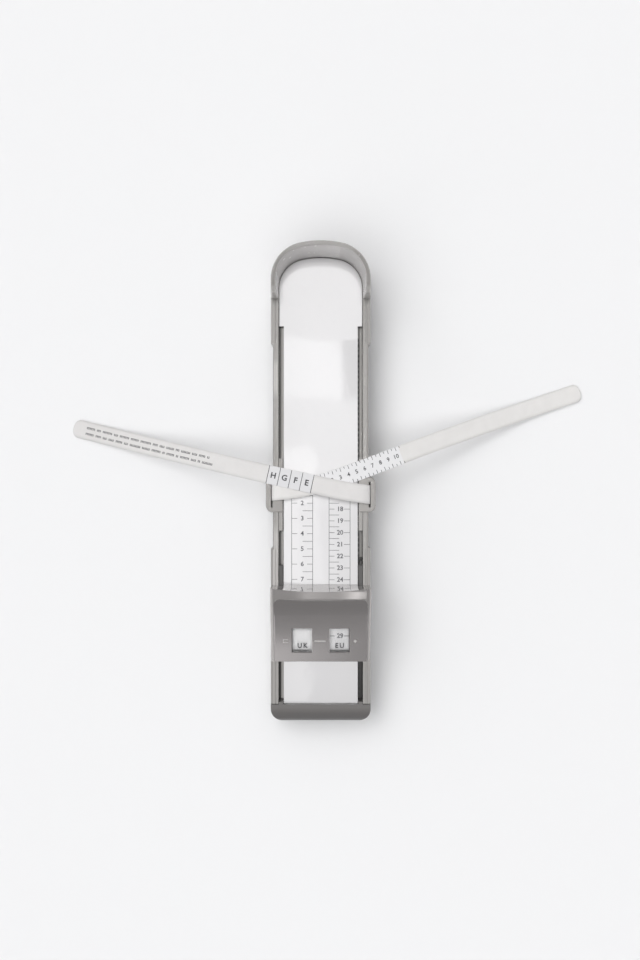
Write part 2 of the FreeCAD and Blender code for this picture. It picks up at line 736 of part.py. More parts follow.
def anchor_bars(gap):
    """The bars on the roots of the letter and number tape, grown by a gap on their four sides."""
    bars = []
    for x, y in ((slot_centre, letter_root_y), (-slot_centre, number_root_y)):
        bars.append(box(x - anchor_width / 2 - gap, x + anchor_width / 2 + gap,
                        y - anchor_length / 2 - gap, y + anchor_length / 2 + gap,
                        bridge_top - anchor_height, bridge_top))
    return bars


def make_tape_bracket():
    """Right bracket: cap over the rail, outer leg with the tape slot, shoe in the channel."""
    cap = carrier_block(bridge_top, bracket_z, guide_inner, bracket_outer,
                        lambda x, y: near(x, bracket_outer))
    top_edges = [e for e in cap.Edges if near(e.BoundBox.ZMin, bracket_z)
                 and e.BoundBox.XMax > guide_outer]
    cap = cap.makeChamfer(bracket_edge_bevel, top_edges)
    rail_space = box(-BIG, slot_inner, -BIG, BIG, -BIG, bracket_under)
    cap = cap.cut(rail_space)
    slot = box(slot_inner, slot_outer, carrier_y - slot_length / 2, carrier_y + slot_length / 2,
               -BIG, BIG)
    shoe_y0, shoe_y1 = carrier_y - shoe_length / 2, carrier_y + shoe_length / 2
    shoe = box(guide_inner, guide_outer, shoe_y0, shoe_y1, hook_bottom, rail_top)
    neck = box(guide_inner, guide_outer, carrier_y - bracket_length / 2,
               carrier_y + bracket_length / 2, rail_top - PAST, bracket_under + bracket_top / 2)
    hook = box(guide_outer, inner_half + hook_reach, shoe_y0, shoe_y1, hook_bottom, hook_top)
    bracket = fused([cap, shoe, neck, hook]).cut(slot)
    x, y = bridge_screw_place()
    return bracket.cut(upright(bridge_screw_radius, x, y, bridge_top - PAST,
                               bridge_floor_gap + bridge_screw_length))


def make_carrier_bridge():
    """Bar below the tray: rub strips on top, pockets for the anchors, holes for the screws."""
    bridge = carrier_block(bridge_floor_gap, bridge_top, -bracket_outer, bracket_outer,
                           lambda x, y: True)
    strip = box(narrow_half - rub_strip_width, narrow_half, carrier_y - bracket_length / 2,
                carrier_y + bracket_length / 2, bridge_top, tray_under - rub_strip_gap)
    bridge = fused([bridge] + both_sides(strip))
    for pocket in anchor_bars(anchor_gap):
        bridge = bridge.cut(pocket)
    x, y = bridge_screw_place()
    shank = upright(bridge_screw_radius + screw_hole_gap / 2, x, y, -PAST, BIG)
    head = upright(bridge_head_radius + screw_hole_gap / 2, x, y, -PAST,
                   bridge_floor_gap + bridge_head_height)
    for cutter in both_sides(shank) + both_sides(head):
        bridge = bridge.cut(cutter)
    return bridge


def make_bridge_screws():
    """Two small screws, sunk flush in the underside of the bridge."""
    x, y = bridge_screw_place()
    screw = pan_screw(x, y, bridge_floor_gap + bridge_head_height,
                      bridge_screw_length - bridge_head_height,
                      bridge_screw_radius, bridge_head_radius, bridge_head_height)
    return Part.makeCompound(both_sides(screw))


def make_tape_anchors():
    """Bars on the tapes' roots, held in the bridge's pockets below the brackets."""
    return Part.makeCompound(anchor_bars(0))


# ---- tapes --------------------------------------------------------------------------
def tape_route(side, root_y, reach, sweep, crest, onward):
    """Points up through the slot on one side and on to the free end.

    Each point onward is three shares: of the way across from the slot to the free end, of
    the sweep towards the heel, and of the height of the crest above the free end.
    """
    first_z = (bridge_top + crest) / 2
    points = [V(side * (slot_centre - 0.05), root_y, bridge_top),
              V(side * (slot_centre + 0.05), root_y, first_z),
              V(side * (slot_centre - 0.05), root_y, crest)]
    for along, aside, up in onward:
        points.append(V(side * (slot_centre - along * (slot_centre + reach)),
                        root_y + aside * sweep,
                        tape_tip_height + up * (crest - tape_tip_height)))
    return points


# both tapes bend over above the brackets, cross and come down to the floor beside the tray
LETTER_ROUTE = tape_route(1, letter_root_y, letter_tape_reach, letter_tape_sweep, letter_tape_crest, [
    (0.084, 0.052, 0.993), (0.228, 0.192, 0.948), (0.384, 0.343, 0.821), (0.576, 0.542, 0.464),
    (0.751, 0.725, 0.125), (0.877, 0.862, 0.002), (1.0, 1.0, 0.0)])
NUMBER_ROUTE = tape_route(-1, number_root_y, number_tape_reach, number_tape_sweep, number_tape_crest, [
    (0.069, 0.021, 0.996), (0.178, 0.088, 0.962), (0.311, 0.242, 0.911), (0.478, 0.44, 0.665),
    (0.651, 0.631, 0.308), (0.801, 0.791, 0.049), (0.905, 0.9, 0.002), (1.0, 1.0, 0.0)])


def tape_radii(route):
    """Bend radius at each inner point: 0.45 of the shorter run over the tangent of half the turn."""
    radii = []
    for before, point, after in zip(route, route[1:], route[2:]):
        run_in, run_out = point - before, after - point
        turn = run_in.getAngle(run_out)
        radii.append(0.45 * min(run_in.Length, run_out.Length) / math.tan(turn / 2))
    return radii


def make_tape(route, name):
    """A flat tape swept along straight runs joined by tangent arcs."""
    radii = tape_radii(route)
    across = V(0, tape_width / 2, 0)
    through = V(tape_thickness / 2, 0, 0)
    start = route[0]
    face = Part.Face(Part.makePolygon([start - across - through, start + across - through,
                                       start + across + through, start - across + through,
                                       start - across - through]))
    solids = []
    length = 0.0
    trimmed = 0.0
    for i, radius in enumerate(radii + [0.0]):
        run = route[i + 1] - route[i]
        direction = V(run).normalize()
        if radius:
            next_run = route[i + 2] - route[i + 1]
            turn = run.getAngle(next_run)
            tangent = radius * math.tan(turn / 2)
        else:
            tangent = 0.0
        straight = direction * (run.Length - trimmed - tangent)
        solids.append(face.extrude(straight))
        face = face.translated(straight)
        length += straight.Length
        if radius:
            axis = run.cross(next_run).normalize()
            inward = axis.cross(direction)
            centre = route[i + 1] - direction * tangent + inward * radius
            solids.append(face.revolve(centre, axis, math.degrees(turn)))
            face = face.rotated(centre, axis, math.degrees(turn))
            length += radius * turn
        trimmed = tangent
    tape = fused(solids)
    end_corners = [e for e in tape.Edges if near(e.Length, tape_thickness)
                   and all((v.Point - route[-1]).Length < tape_width for v in e.Vertexes)]
    full = tape_width * tape_thickness * length
    print(f"{name}: length {length:.1f}, volume {tape.Volume:.1f} of {full:.1f}, radii",
          [round(r, 1) for r in radii])
    return tape.makeFillet(tape_end_radius, end_corners)


# ---- all the pieces -------------------------------------------------------------------
def make_parts():
    """Every piece of the object by name."""
    runner, bracket = make_runner(), make_tape_bracket()
    return {
        "base_tray": make_base_tray(),
        "foot_plate": make_foot_plate(),
        "click_rack": make_click_rack(),
        "end_cap": make_end_cap(),
        "end_cap_screws": make_cap_screws(),
        "foot_pads": make_foot_pads(),
        "toe_slider_body": make_toe_slider_body(),
        "toe_slider_panel": make_toe_slider_panel(),
        "uk_window": make_window_lens(-1),
        "eu_window": make_window_lens(1),
        "left_runner": mirrored(runner),
        "right_runner": runner,
        "click_spring": make_click_spring(),
        "runner_screws": make_runner_screws(),
        "left_tape_bracket": mirrored(bracket),
        "right_tape_bracket": bracket,
        "carrier_bridge": make_carrier_bridge(),
        "bridge_screws": make_bridge_screws(),
        "tape_anchors": make_tape_anchors(),
        "letter_tape": make_tape(LETTER_ROUTE, "letter_tape"),
        "number_tape": make_tape(NUMBER_ROUTE, "number_tape"),
    }


def travel():
    """Travel of the toe slider towards the heel, and of the carrier towards the toe slider."""
    carrier_front = carrier_y + bracket_length / 2
    toe_travel = heel_shoulder_y - carrier_front - carrier_stop_gap
    shoe_rear = carrier_y - shoe_length / 2
    carrier_travel = shoe_rear - runner_front_y - carrier_stop_gap
    return toe_travel, carrier_travel


os.makedirs("parts", exist_ok=True)
for node, shape in make_parts().items():
    shape.exportStep(os.path.join("parts", node + ".step"))
    print(f"{node}: {len(shape.Solids)} solids, valid {shape.isValid()}, volume {shape.Volume:.1f}")
print("travel of the toe slider and of the tape carrier:", travel())
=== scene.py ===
# %% [markdown]
# # A foot measuring device
# A child stands on the white plate with the heel in the cup.  The toe slider is pushed up to
# the toes and read through its windows, and two tapes are wrapped round the foot for its
# width.  The solids come packed, at their real size.  This lesson gives them their finishes,
# prints, screws and tapes, and sets up the studio they stand in.

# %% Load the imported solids
import bisect
import bmesh
import bpy
import json
import math
from mathutils import Matrix, Vector


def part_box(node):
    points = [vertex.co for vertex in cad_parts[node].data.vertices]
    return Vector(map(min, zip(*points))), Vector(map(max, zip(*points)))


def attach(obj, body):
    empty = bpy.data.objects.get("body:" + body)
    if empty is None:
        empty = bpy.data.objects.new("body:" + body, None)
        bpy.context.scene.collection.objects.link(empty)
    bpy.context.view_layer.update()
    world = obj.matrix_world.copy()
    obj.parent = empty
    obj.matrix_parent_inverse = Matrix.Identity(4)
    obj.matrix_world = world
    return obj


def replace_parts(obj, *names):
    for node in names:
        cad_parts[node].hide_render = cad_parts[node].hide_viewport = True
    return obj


MM = 0.001
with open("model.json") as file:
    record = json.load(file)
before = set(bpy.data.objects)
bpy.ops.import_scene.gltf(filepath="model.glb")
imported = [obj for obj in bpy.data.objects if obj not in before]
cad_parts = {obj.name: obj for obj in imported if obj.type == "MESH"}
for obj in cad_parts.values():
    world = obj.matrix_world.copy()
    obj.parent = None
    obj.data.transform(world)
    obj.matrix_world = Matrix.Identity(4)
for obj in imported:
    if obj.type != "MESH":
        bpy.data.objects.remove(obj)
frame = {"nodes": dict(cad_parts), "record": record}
nodes = frame["nodes"]
scene = bpy.context.scene
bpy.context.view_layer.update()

# %% [markdown]
# ## The camera
# The device is seen from straight above, from about three quarters of a metre.  A lens could
# be guessed by eye, but the size of the heel cup's rim against its foot tells the distance,
# and the distance and the plate's length in the view tell the lens.

# %% Camera
camera_data = bpy.data.cameras.new("camera")
camera_data.sensor_fit = "VERTICAL"
camera_data.sensor_height = 36.0
camera_data.lens = 48.66
camera = bpy.data.objects.new("camera", camera_data)
camera.location = Vector((-0.4, 2.9, 733.5)) * MM
scene.collection.objects.link(camera)
scene.camera = camera
print("camera looks straight down from", round(camera.location.z, 3), "m")

# %% [markdown]
# ## The course of the tapes
# Each tape comes up through the slot of its bracket, bends over and runs down to the table.
# A tape could be swept along arcs, but stiff paper has no arcs with straight lines between
# them.  It follows one smooth NURBS spline, which a few points steer like the pins on a
# draughtsman's board.

# %% The two splines
SLOT_X = 26.9
LETTER_Y, NUMBER_Y = -5.15, -3.35
LETTER_ROUTE = [(SLOT_X - 0.05, LETTER_Y, 3.6), (SLOT_X + 0.05, LETTER_Y, 15.6),
                (SLOT_X - 0.05, LETTER_Y, 27.6), (12.92, -3.19, 27.41), (-11.04, 2.1, 26.2),
                (-37.0, 7.8, 22.79), (-68.95, 15.31, 13.21), (-98.07, 22.22, 4.11),
                (-119.03, 27.39, 0.8), (-139.5, 32.6, 0.75)]
NUMBER_ROUTE = [(0.05 - SLOT_X, NUMBER_Y, 3.6), (-0.05 - SLOT_X, NUMBER_Y, 13.95),
                (0.05 - SLOT_X, NUMBER_Y, 24.3), (-14.94, -2.17, 24.21), (3.97, 1.58, 23.41),
                (27.03, 10.21, 22.2), (55.99, 21.31, 16.41), (85.98, 32.02, 8.0),
                (111.99, 40.99, 1.9), (130.03, 47.09, 0.8), (146.5, 52.7, 0.75)]


def centreline(name, route):
    """Points of the smooth spline that the route's points steer."""
    curve = bpy.data.curves.new(name, "CURVE")
    curve.dimensions = "3D"
    curve.resolution_u = 24
    spline = curve.splines.new("NURBS")
    spline.points.add(len(route) - 1)
    for point, place in zip(spline.points, route):
        point.co = (*(Vector(place) * MM), 1.0)
    spline.order_u = 3
    spline.use_endpoint_u = True
    mesh = mesh_of(name, curve)
    points = [vertex.co.copy() for vertex in mesh.vertices]
    bpy.data.meshes.remove(mesh)
    return points


def mesh_of(name, curve):
    """The mesh that a curve or a text makes; the curve itself is thrown away."""
    holder = bpy.data.objects.new(name, curve)
    scene.collection.objects.link(holder)
    bpy.context.view_layer.update()
    mesh = bpy.data.meshes.new_from_object(holder)
    bpy.data.objects.remove(holder)
    bpy.data.curves.remove(curve)
    return mesh


letter_line = centreline("letter_guide", LETTER_ROUTE)
number_line = centreline("number_guide", NUMBER_ROUTE)
print("points on the two lines:", len(letter_line), len(number_line))

# %% [markdown]
# ## From a line to a flat tape
# A flat tape also needs to know which way it is wide.  In its slot it is wide along the
# device.  Further on it lies level, square to its own heading.  A round bevel can't do this, so
# each point gets its own small set of axes: along, across and up.  Anything printed on the
# tape later uses the same axes, so that it can't come loose from the paper.

# %% Axes along a tape
UPRIGHT = 0.02  # a heading whose level part is shorter than this counts as straight up


def smooth_step(value):
    """0 to 1 with a soft start and end."""
    value = max(0.0, min(1.0, value))
    return value * value * (3 - 2 * value)


class Ribbon:
    """A flat band round a line: it turns (along, across, height) into a place in space."""

    def __init__(self, line):
        self.line = line
        self.leftward = line[-1].x < 0
        self.marks = [0.0]
        for a, b in zip(line, line[1:]):
            self.marks.append(self.marks[-1] + (b - a).length)
        self.length = self.marks[-1]
        self.axes = [self.axes_at(i) for i in range(len(line))]

    def axes_at(self, i):
        """The directions across and up at one of the line's points."""
        before, after = max(i - 1, 0), min(i + 1, len(self.line) - 1)
        heading = (self.line[after] - self.line[before]).normalized()
        across = Vector((0.0, 1.0, 0.0))
        level = Vector((heading.x, heading.y, 0.0))
        if level.length > UPRIGHT:
            side = Vector((-level.y, level.x, 0.0)).normalized()
            if side.y < 0:
                side.negate()
            across = across.lerp(side, smooth_step(level.length))
        across = (across - heading * across.dot(heading)).normalized()
        upper = heading.cross(across)
        if self.leftward:
            upper.negate()
        return across, upper

    def place(self, along, across, height):
        """The point at a length along the tape, a width across it and a height above it."""
        along = max(0.0, min(self.length, along))
        high = min(bisect.bisect_right(self.marks, along), len(self.marks) - 1)
        low = high - 1
        share = (along - self.marks[low]) / (self.marks[high] - self.marks[low])
        side, upper = [a.lerp(b, share) for a, b in zip(self.axes[low], self.axes[high])]
        return self.line[low].lerp(self.line[high], share) + side * across + upper * height


letter_ribbon = Ribbon(letter_line)
number_ribbon = Ribbon(number_line)
for name, ribbon in (("letter", letter_ribbon), ("number", number_ribbon)):
    print(name, "tape:", round(ribbon.length / MM, 1), "mm long")

# %% [markdown]
# ## Small helpers for node trees
# A node tree could be wired line by line.  It is easier to read when each node is made in one
# call that names its settings and says what every input gets, and when a node's output can be
# added and multiplied like a number.

# %% Helpers for node trees
class Signal:
    """The output of a node, to be calculated with like a number."""

    def __init__(self, socket):
        self.socket = socket
        self.tree = socket.id_data

    def maths(self, operation, *others):
        """One calculation with this signal and other signals or numbers."""
        node = add_node(self.tree, "ShaderNodeMath", operation=operation)
        for socket, value in zip(node.inputs, (self, *others)):
            give(socket, value)
        return Signal(node.outputs[0])

    def __add__(self, other):
        return self.maths("ADD", other)

    def __mul__(self, other):
        return self.maths("MULTIPLY", other)

    def __or__(self, other):
        return self.maths("MAXIMUM", other)

    def ramp(self, low, high):
        """0 up to low and 1 from high on, either of which may be the greater."""
        return signal(self.tree, "ShaderNodeMapRange", "Result", Value=self, From_Min=low,
                      From_Max=high)

    def band(self, start, full, last, end):
        """1 from full to last, and 0 before start and after end."""
        return self.ramp(start, full) * self.ramp(end, last)


def give(socket, value):
    """A socket's value, or a link to it when the value comes from another node."""
    if isinstance(value, Signal):
        value = value.socket
    if isinstance(value, bpy.types.NodeSocket):
        socket.id_data.links.new(value, socket)
    elif socket.type == "RGBA" and len(value) == 3:
        socket.default_value = (*value, 1.0)
    else:
        socket.default_value = value


def add_node(tree, kind, **values):
    """A node with these settings and inputs; an underscore stands for a space in a name."""
    node = tree.nodes.new(kind)
    for key, value in values.items():
        if hasattr(node, key):
            setattr(node, key, value)
        else:
            give(node.inputs[key.replace("_", " ")], value)
    return node


def signal(tree, kind, output, **values):
    """The one output that is wanted of a new node."""
    return Signal(add_node(tree, kind, **values).outputs[output])


def xyz(tree, vector):
    """The three parts of a vector."""
    return [Signal(part) for part in add_node(tree, "ShaderNodeSeparateXYZ", Vector=vector).outputs]


def new_material(name, **inputs):
    """A material, its node tree and its shader, with some of the shader's inputs set."""
    material = bpy.data.materials.new(name)
    material.use_nodes = True
    shader = material.node_tree.nodes["Principled BSDF"]
    for title, value in inputs.items():
        give(shader.inputs[title.replace("_", " ")], value)
    return material, material.node_tree, shader


print("helpers for node trees are ready")

# %% [markdown]
# ## The table and the light
# The real device lies on a white sweep in a studio.  A plain pale floor does for that.  Its
# soft shadow falls to the right and a little to both ends, so wide, weak lamps stand mostly to
# the left, the front and the rear.  A photographer keeps such lamps off a shiny product with
# flags and lights it from right above instead.  Light linking is the flag here: the wide lamps
# reach only the floor, and the lamp overhead reaches everything but the floor.
#
# Shiny plastic shows what is around it.  The room is bright near the table and darker
# overhead.  Softboxes hang above the device to be mirrored: one set in the plate, which is as
# level as a lake, and narrower strips in the curved lip of the slider.

# %% Floor and room
FLOOR_HALF = 30.0
floor_mesh = bpy.data.meshes.new("floor")
floor_mesh.from_pydata([(-FLOOR_HALF, -FLOOR_HALF, 0), (FLOOR_HALF, -FLOOR_HALF, 0),
                        (FLOOR_HALF, FLOOR_HALF, 0), (-FLOOR_HALF, FLOOR_HALF, 0)],
                       [], [(0, 1, 2, 3)])
sweep = new_material("white_sweep", Base_Color=(0.86, 0.86, 0.865), Roughness=0.9)[0]
floor_mesh.materials.append(sweep)
floor = bpy.data.objects.new("floor", floor_mesh)
scene.collection.objects.link(floor)


def white_room(stops, horizon, shade_on_right):
    """A world that is bright near the table, less so on the right, and darker overhead."""
    world = bpy.data.worlds.new("white_room")
    world.use_nodes = True
    tree = world.node_tree
    sky = tree.nodes["Background"]
    where = signal(tree, "ShaderNodeTexCoord", "Generated")
    x, y, z = xyz(tree, where)
    tone = add_node(tree, "ShaderNodeValToRGB", Fac=z)
    give(sky.inputs["Color"], tone.outputs["Color"])
    steps = tone.color_ramp.elements
    while len(steps) < len(stops):
        steps.new(0.5)
    for step, (height, light) in zip(steps, stops):
        step.position = height
        step.color = (light * 0.985, light * 0.99, light * 1.01, 1.0)
    low_right = z.ramp(horizon + 0.004, horizon - 0.003) * x.ramp(-0.03, 0.03)
    give(sky.inputs["Strength"], low_right * -shade_on_right + 1.0)
    return world


scene.world = white_room([(0.0, 0.86), (0.4235, 0.90), (0.4285, 0.42), (0.443, 0.25),
                          (0.60, 0.22), (0.85, 0.18), (1.0, 0.18)], 0.4265, 0.55)
scene.view_settings.view_transform = "Standard"
print("the floor is", 2 * FLOOR_HALF, "m wide")

# %% Wide lamps
def linked(name, thing, state):
    """A light linking list that holds one thing, which it includes or leaves out."""
    group = bpy.data.collections.new(name)
    group.objects.link(thing)
    group.collection_objects[0].light_linking.link_state = state
    return group


def hung(name, kind, receivers):
    """A lamp of one kind that lights only its receivers, and the object that holds it."""
    data = bpy.data.lights.new(name, kind)
    holder = bpy.data.objects.new(name, data)
    holder.light_linking.receiver_collection = receivers
    scene.collection.objects.link(holder)
    return data, holder


def wide_lamp(name, left, rear, angle, energy, receivers):
    """A far, wide lamp, tilted from overhead to the left and the rear, and not mirrored."""
    data, holder = hung(name, "SUN", receivers)
    data.energy = energy
    data.angle = math.radians(angle)
    upward = Vector((-math.tan(math.radians(left)), math.tan(math.radians(rear)), 1.0))
    holder.rotation_euler = upward.to_track_quat("Z", "Y").to_euler()
    holder.visible_glossy = False


floor_only = linked("floor_only", floor, "INCLUDE")
all_but_floor = linked("all_but_floor", floor, "EXCLUDE")
for name, left, rear, angle, energy in (
        ("left", 35, 0, 40, 0.57), ("front", 0, -25, 40, 0.61), ("rear", 0, 45, 40, 0.355),
        ("left_rear", 32, 32, 40, 0.90), ("left_front", 32, -32, 40, 0.385),
        ("right", -40, 0, 50, 0.12), ("floor_fill", 0, 0, 10, 0.15)):
    wide_lamp(name, left, rear, angle, energy, floor_only)
wide_lamp("overhead", 1, 4, 14, 2.45, all_but_floor)

# %% Softboxes
SOFTBOX_HEIGHT = 1.5


def softbox(name, radiance, x0, x1, y0, y1, receivers):
    """A flat lamp that hangs level above the table, between these places in millimetres."""
    data, holder = hung(name, "AREA", receivers)
    data.shape = "RECTANGLE"
    data.size = (x1 - x0) * MM
    data.size_y = (y1 - y0) * MM
    data.energy = radiance * math.pi * data.size * data.size_y
    holder.location = ((x0 + x1) / 2 * MM, (y0 + y1) / 2 * MM, SOFTBOX_HEIGHT)


plate_only = linked("plate_only", nodes["foot_plate"], "INCLUDE")
all_but_plate = linked("all_but_plate", nodes["foot_plate"], "EXCLUDE")
for name, radiance, *sides in (
        ("rear", 2.4, -90, 90, 241, 400), ("middle", 4.1, -90, 37, 139, 241),
        ("centre", 2.7, -90, 90, 56, 139), ("centre_left", 4.4, -90, -14, -34, 56),
        ("centre_right", 2.4, -14, 90, -34, 56), ("left", 3.5, -90, -28, -296, -34),
        ("left_edge", 2.4, -28, -12.4, -296, -34), ("left_line", 3.3, -12.4, -3, -296, -34),
        ("right", 1.7, -3, 30, -296, -34), ("right_edge", 1.1, 30, 90, -296, -34),
        ("front_left", 1.7, -90, -20, -380, -296)):
    softbox("softbox_" + name, radiance, *sides, plate_only)
for name, radiance, x0, x1 in (("left", 0.85, -28, -6), ("middle", 0.27, -6, 49.5),
                               ("right", 2.1, 49.5, 66), ("far_right", 0.55, 66, 110)):
    softbox("strip_" + name, radiance, x0, x1, -320, 200, all_but_plate)

# %% [markdown]
# ## Effects that several finishes share
# Moulded plastic is never perfectly even: the mould leaves a fine grain, hands leave marks,
# edges are rounded and wear bright, and dust gathers.  Each of these could be drawn into
# every material again.  A shader node group does it once, and each material then asks for its
# own amount.

# %% Helpers for shader groups
def shader_group(name, **inputs):
    """A shader group with named inputs, and what its nodes are given."""
    group = bpy.data.node_groups.new(name, "ShaderNodeTree")
    for title, value in inputs.items():
        socket = group.interface.new_socket(name=title.replace("_", " "), in_out="INPUT",
                                            socket_type="NodeSocketFloat")
        socket.default_value = value
    return group, group.nodes.new("NodeGroupInput").outputs


def finish_group(group, **outputs):
    """The named outputs of a shader group."""
    leave = group.nodes.new("NodeGroupOutput")
    for title, value in outputs.items():
        kind = "NodeSocketVector" if title == "Normal" else "NodeSocketFloat"
        group.interface.new_socket(name=title, in_out="OUTPUT", socket_type=kind)
        give(leave.inputs[title], value)
    print("group", group.name, "has", len(group.nodes), "nodes")


def place_in(tree, space="Object"):
    """Where the shaded point lies."""
    return signal(tree, "ShaderNodeTexCoord", space)


def facing(tree):
    """The way the surface faces."""
    return signal(tree, "ShaderNodeNewGeometry", "Normal")


def noise(tree, where, scale, detail, **values):
    """Cloudy noise with this many clouds per metre."""
    return signal(tree, "ShaderNodeTexNoise", "Fac", Vector=where, Scale=scale, Detail=detail, **values)


print("shader groups can be made")

# %% Mould grain
grain_group, given = shader_group("mould_grain", Grains_per_metre=4200.0, Flow_per_metre=40.0)
where = place_in(grain_group)
fine = noise(grain_group, where, given["Grains per metre"], 2.0, Roughness=0.6)
broad = noise(grain_group, where, given["Flow per metre"], 3.0, Distortion=0.6)
finish_group(grain_group, Height=fine, Flow=broad.ramp(0.3, 0.7))

# %% Rounded edges and the wear on them
edge_group, given = shader_group("rounded_edges", Radius=0.35 * MM, Patches_per_metre=160.0)
soft = signal(edge_group, "ShaderNodeBevel", "Normal", samples=4, Radius=given["Radius"])
turn = add_node(edge_group, "ShaderNodeVectorMath", operation="DOT_PRODUCT")
give(turn.inputs[0], soft)
give(turn.inputs[1], facing(edge_group))
patches = noise(edge_group, place_in(edge_group), given["Patches per metre"], 3.0)
wear = Signal(turn.outputs["Value"]).ramp(0.995, 0.90) * patches.ramp(0.42, 0.62)
finish_group(edge_group, Wear=wear, Normal=soft)

# %% Marks of use and dust
use_group, given = shader_group("marks_of_use", Smears_per_metre=60.0, Scratches_per_metre=420.0)
where = place_in(use_group)
smears = noise(use_group, where, given["Smears per metre"], 4.0, Distortion=1.2)
stretch = signal(use_group, "ShaderNodeMapping", "Vector", Vector=where, Scale=(1.0, 0.06, 1.0),
                 Rotation=(0.0, 0.0, 0.3))
scratches = noise(use_group, stretch, given["Scratches per metre"], 1.0)
specks = signal(use_group, "ShaderNodeTexVoronoi", "Distance", Vector=where, Scale=900.0)
settled = xyz(use_group, facing(use_group))[2].ramp(0.6, 1.0)
finish_group(use_group, Smear=smears.ramp(0.35, 0.75), Scratch=scratches.ramp(0.66, 0.72),
             Dust=settled * specks.ramp(0.12, 0.05))

# %% [markdown]
# ## Plastic finishes
# All the moulded pieces are injection moulded, but not alike.  The tray has a pearly silver
# grey pigment, the slider's panel is darker and glossier, the runners are dull.  One function
# builds them from the shared groups, and each finish gets its own colours and amounts.

# %% One function for every moulded finish
def use_in(tree, group, **values):
    """The outputs of a shared group that is placed in a material with its own values."""
    node = add_node(tree, "ShaderNodeGroup", node_tree=group, **values)
    return {socket.name: Signal(socket) for socket in node.outputs}


def mix_colours(share, first, second):
    """first where the share is 0, second where it is 1; each is a colour or a signal."""
    node = add_node(share.tree, "ShaderNodeMix", data_type="RGBA", Factor=share)
    for title, value in (("A", first), ("B", second)):
        give([s for s in node.inputs if s.name == title and s.type == "RGBA"][0], value)
    return Signal([s for s in node.outputs if s.type == "RGBA"][0])


def roughen(shader, base, *effects):
    """The shader's roughness, and how much each effect adds to it."""
    for effect, amount in effects:
        base = effect * amount + base
    give(shader.inputs["Roughness"], base)


def emboss(shader, height, strength, distance, **normal):
    """A bump on the shader, on top of another normal if there is one."""
    bump = signal(height.tree, "ShaderNodeBump", "Normal", Height=height, Strength=strength,
                  Distance=distance * MM, **normal)
    give(shader.inputs["Normal"], bump)


def moulded(name, colour, flow_colour, worn_colour, roughness, metallic=0.0, grain=4200.0,
            grain_depth=0.12, radius=0.35, dust=0.25, smear=0.10, tints=()):
    """Injection moulded plastic with grain, rounded edges, wear, smears and dust."""
    material, tree, shader = new_material(name, Metallic=metallic, IOR=1.5)
    grains = use_in(tree, grain_group, Grains_per_metre=grain)
    edges = use_in(tree, edge_group, Radius=radius * MM)
    marks = use_in(tree, use_group)
    flowing = mix_colours(grains["Flow"], colour, flow_colour)
    wear_and_shade = mix_colours(edges["Wear"], flowing, worn_colour)
    shown = mix_colours(marks["Dust"] * dust, wear_and_shade, (0.62, 0.61, 0.59))
    # Each tint colours a region: on the tray and the cap these are painted shade, painted light and a
    # painted highlight, besides dirt in a joint.
    for region, tint in tints:
        shown = mix_colours(region(Spot(tree)), shown, tint)
    give(shader.inputs["Base Color"], shown)
    roughen(shader, roughness, (marks["Smear"], smear), (marks["Scratch"], smear * 0.8))
    emboss(shader, grains["Height"], grain_depth, 0.04, Normal=edges["Normal"])
    return material


print("moulded finishes can be made")

# %% [markdown]
# ## Painted shade and light on the tray and the cap
# Some places are coloured darker or paler to stand for light and shade: painted shade in the
# channels, on the rim, in a rail's groove, along a rail's edge and on the cap's front, painted
# light on the cup's inner wall and a painted highlight on the left rail.  The joint before the
# cap gets dirt.  They could be painted on an image.  Here each is a region in the
# piece's own coordinates, in millimetres, with soft borders, so that it stays sharp at any
# distance and goes with the piece when it moves.

# %% Regions of a moulded piece
class Spot:
    """Where a point of the piece lies, in millimetres, and how level its surface is."""

    def __init__(self, tree):
        scaled = signal(tree, "ShaderNodeVectorMath", "Vector", operation="SCALE",
                        Vector=place_in(tree), Scale=1 / MM)
        self.x, self.y, self.z = xyz(tree, scaled)
        self.aside = self.x.maths("ABSOLUTE")
        self.level = xyz(tree, facing(tree))[2].maths("ABSOLUTE")


def channel_dirt(at):
    """Painted shade in the corners of the guide channels, on the right channel's outer wall, and along
    stretches of the right channel's floor.
    """
    low = at.y.ramp(-80, -90)
    corner = at.x.ramp(-21.9, -22.3) * (at.x + low * 0.4).ramp(-23.6, -23.2)
    corners = (corner | at.x.band(20.8, 21.1, 21.7, 22.0)) * (low * 0.28 + 0.72)
    # Stretches where the right channel's floor gets painted shade.
    wear_and_shade = at.y.band(-39.5, -40.5, -44.0, -45.0) | at.y.ramp(-70, -80) | at.y.ramp(-20, -26) * 0.35
    right_floor_shade = at.x.ramp(19.2, 19.6) * wear_and_shade
    bottom = (corners | right_floor_shade) * at.aside.ramp(24.6, 24.0) * at.z.band(4.0, 5.0, 10.5, 12.5)
    wall = at.x.band(23.4, 23.7, 24.3, 24.7) * at.z.band(4.0, 5.0, 16.8, 17.6) * at.level.ramp(0.6, 0.3)
    return (bottom | wall * 0.6) * at.y.ramp(100, 98) * 0.88


def rim_handling(at):
    """Painted shade on the top of the cup's rim, at both sides."""
    return at.level.ramp(0.8, 0.95) * at.z.ramp(40, 46) * at.aside.ramp(12, 22) * 0.5


def rail_groove(at):
    """Painted shade of a fine groove along the top of each rail, further out and darker on the right."""
    right = at.x.ramp(-1, 1)
    across = (at.aside + right * -0.6).band(24.5, 24.8, 25.3, 25.6)
    top = at.z.band(17.0, 17.5, 19.5, 20.0) * at.level.ramp(0.90, 0.98)
    return across * top * (right * 0.35 + 0.15)


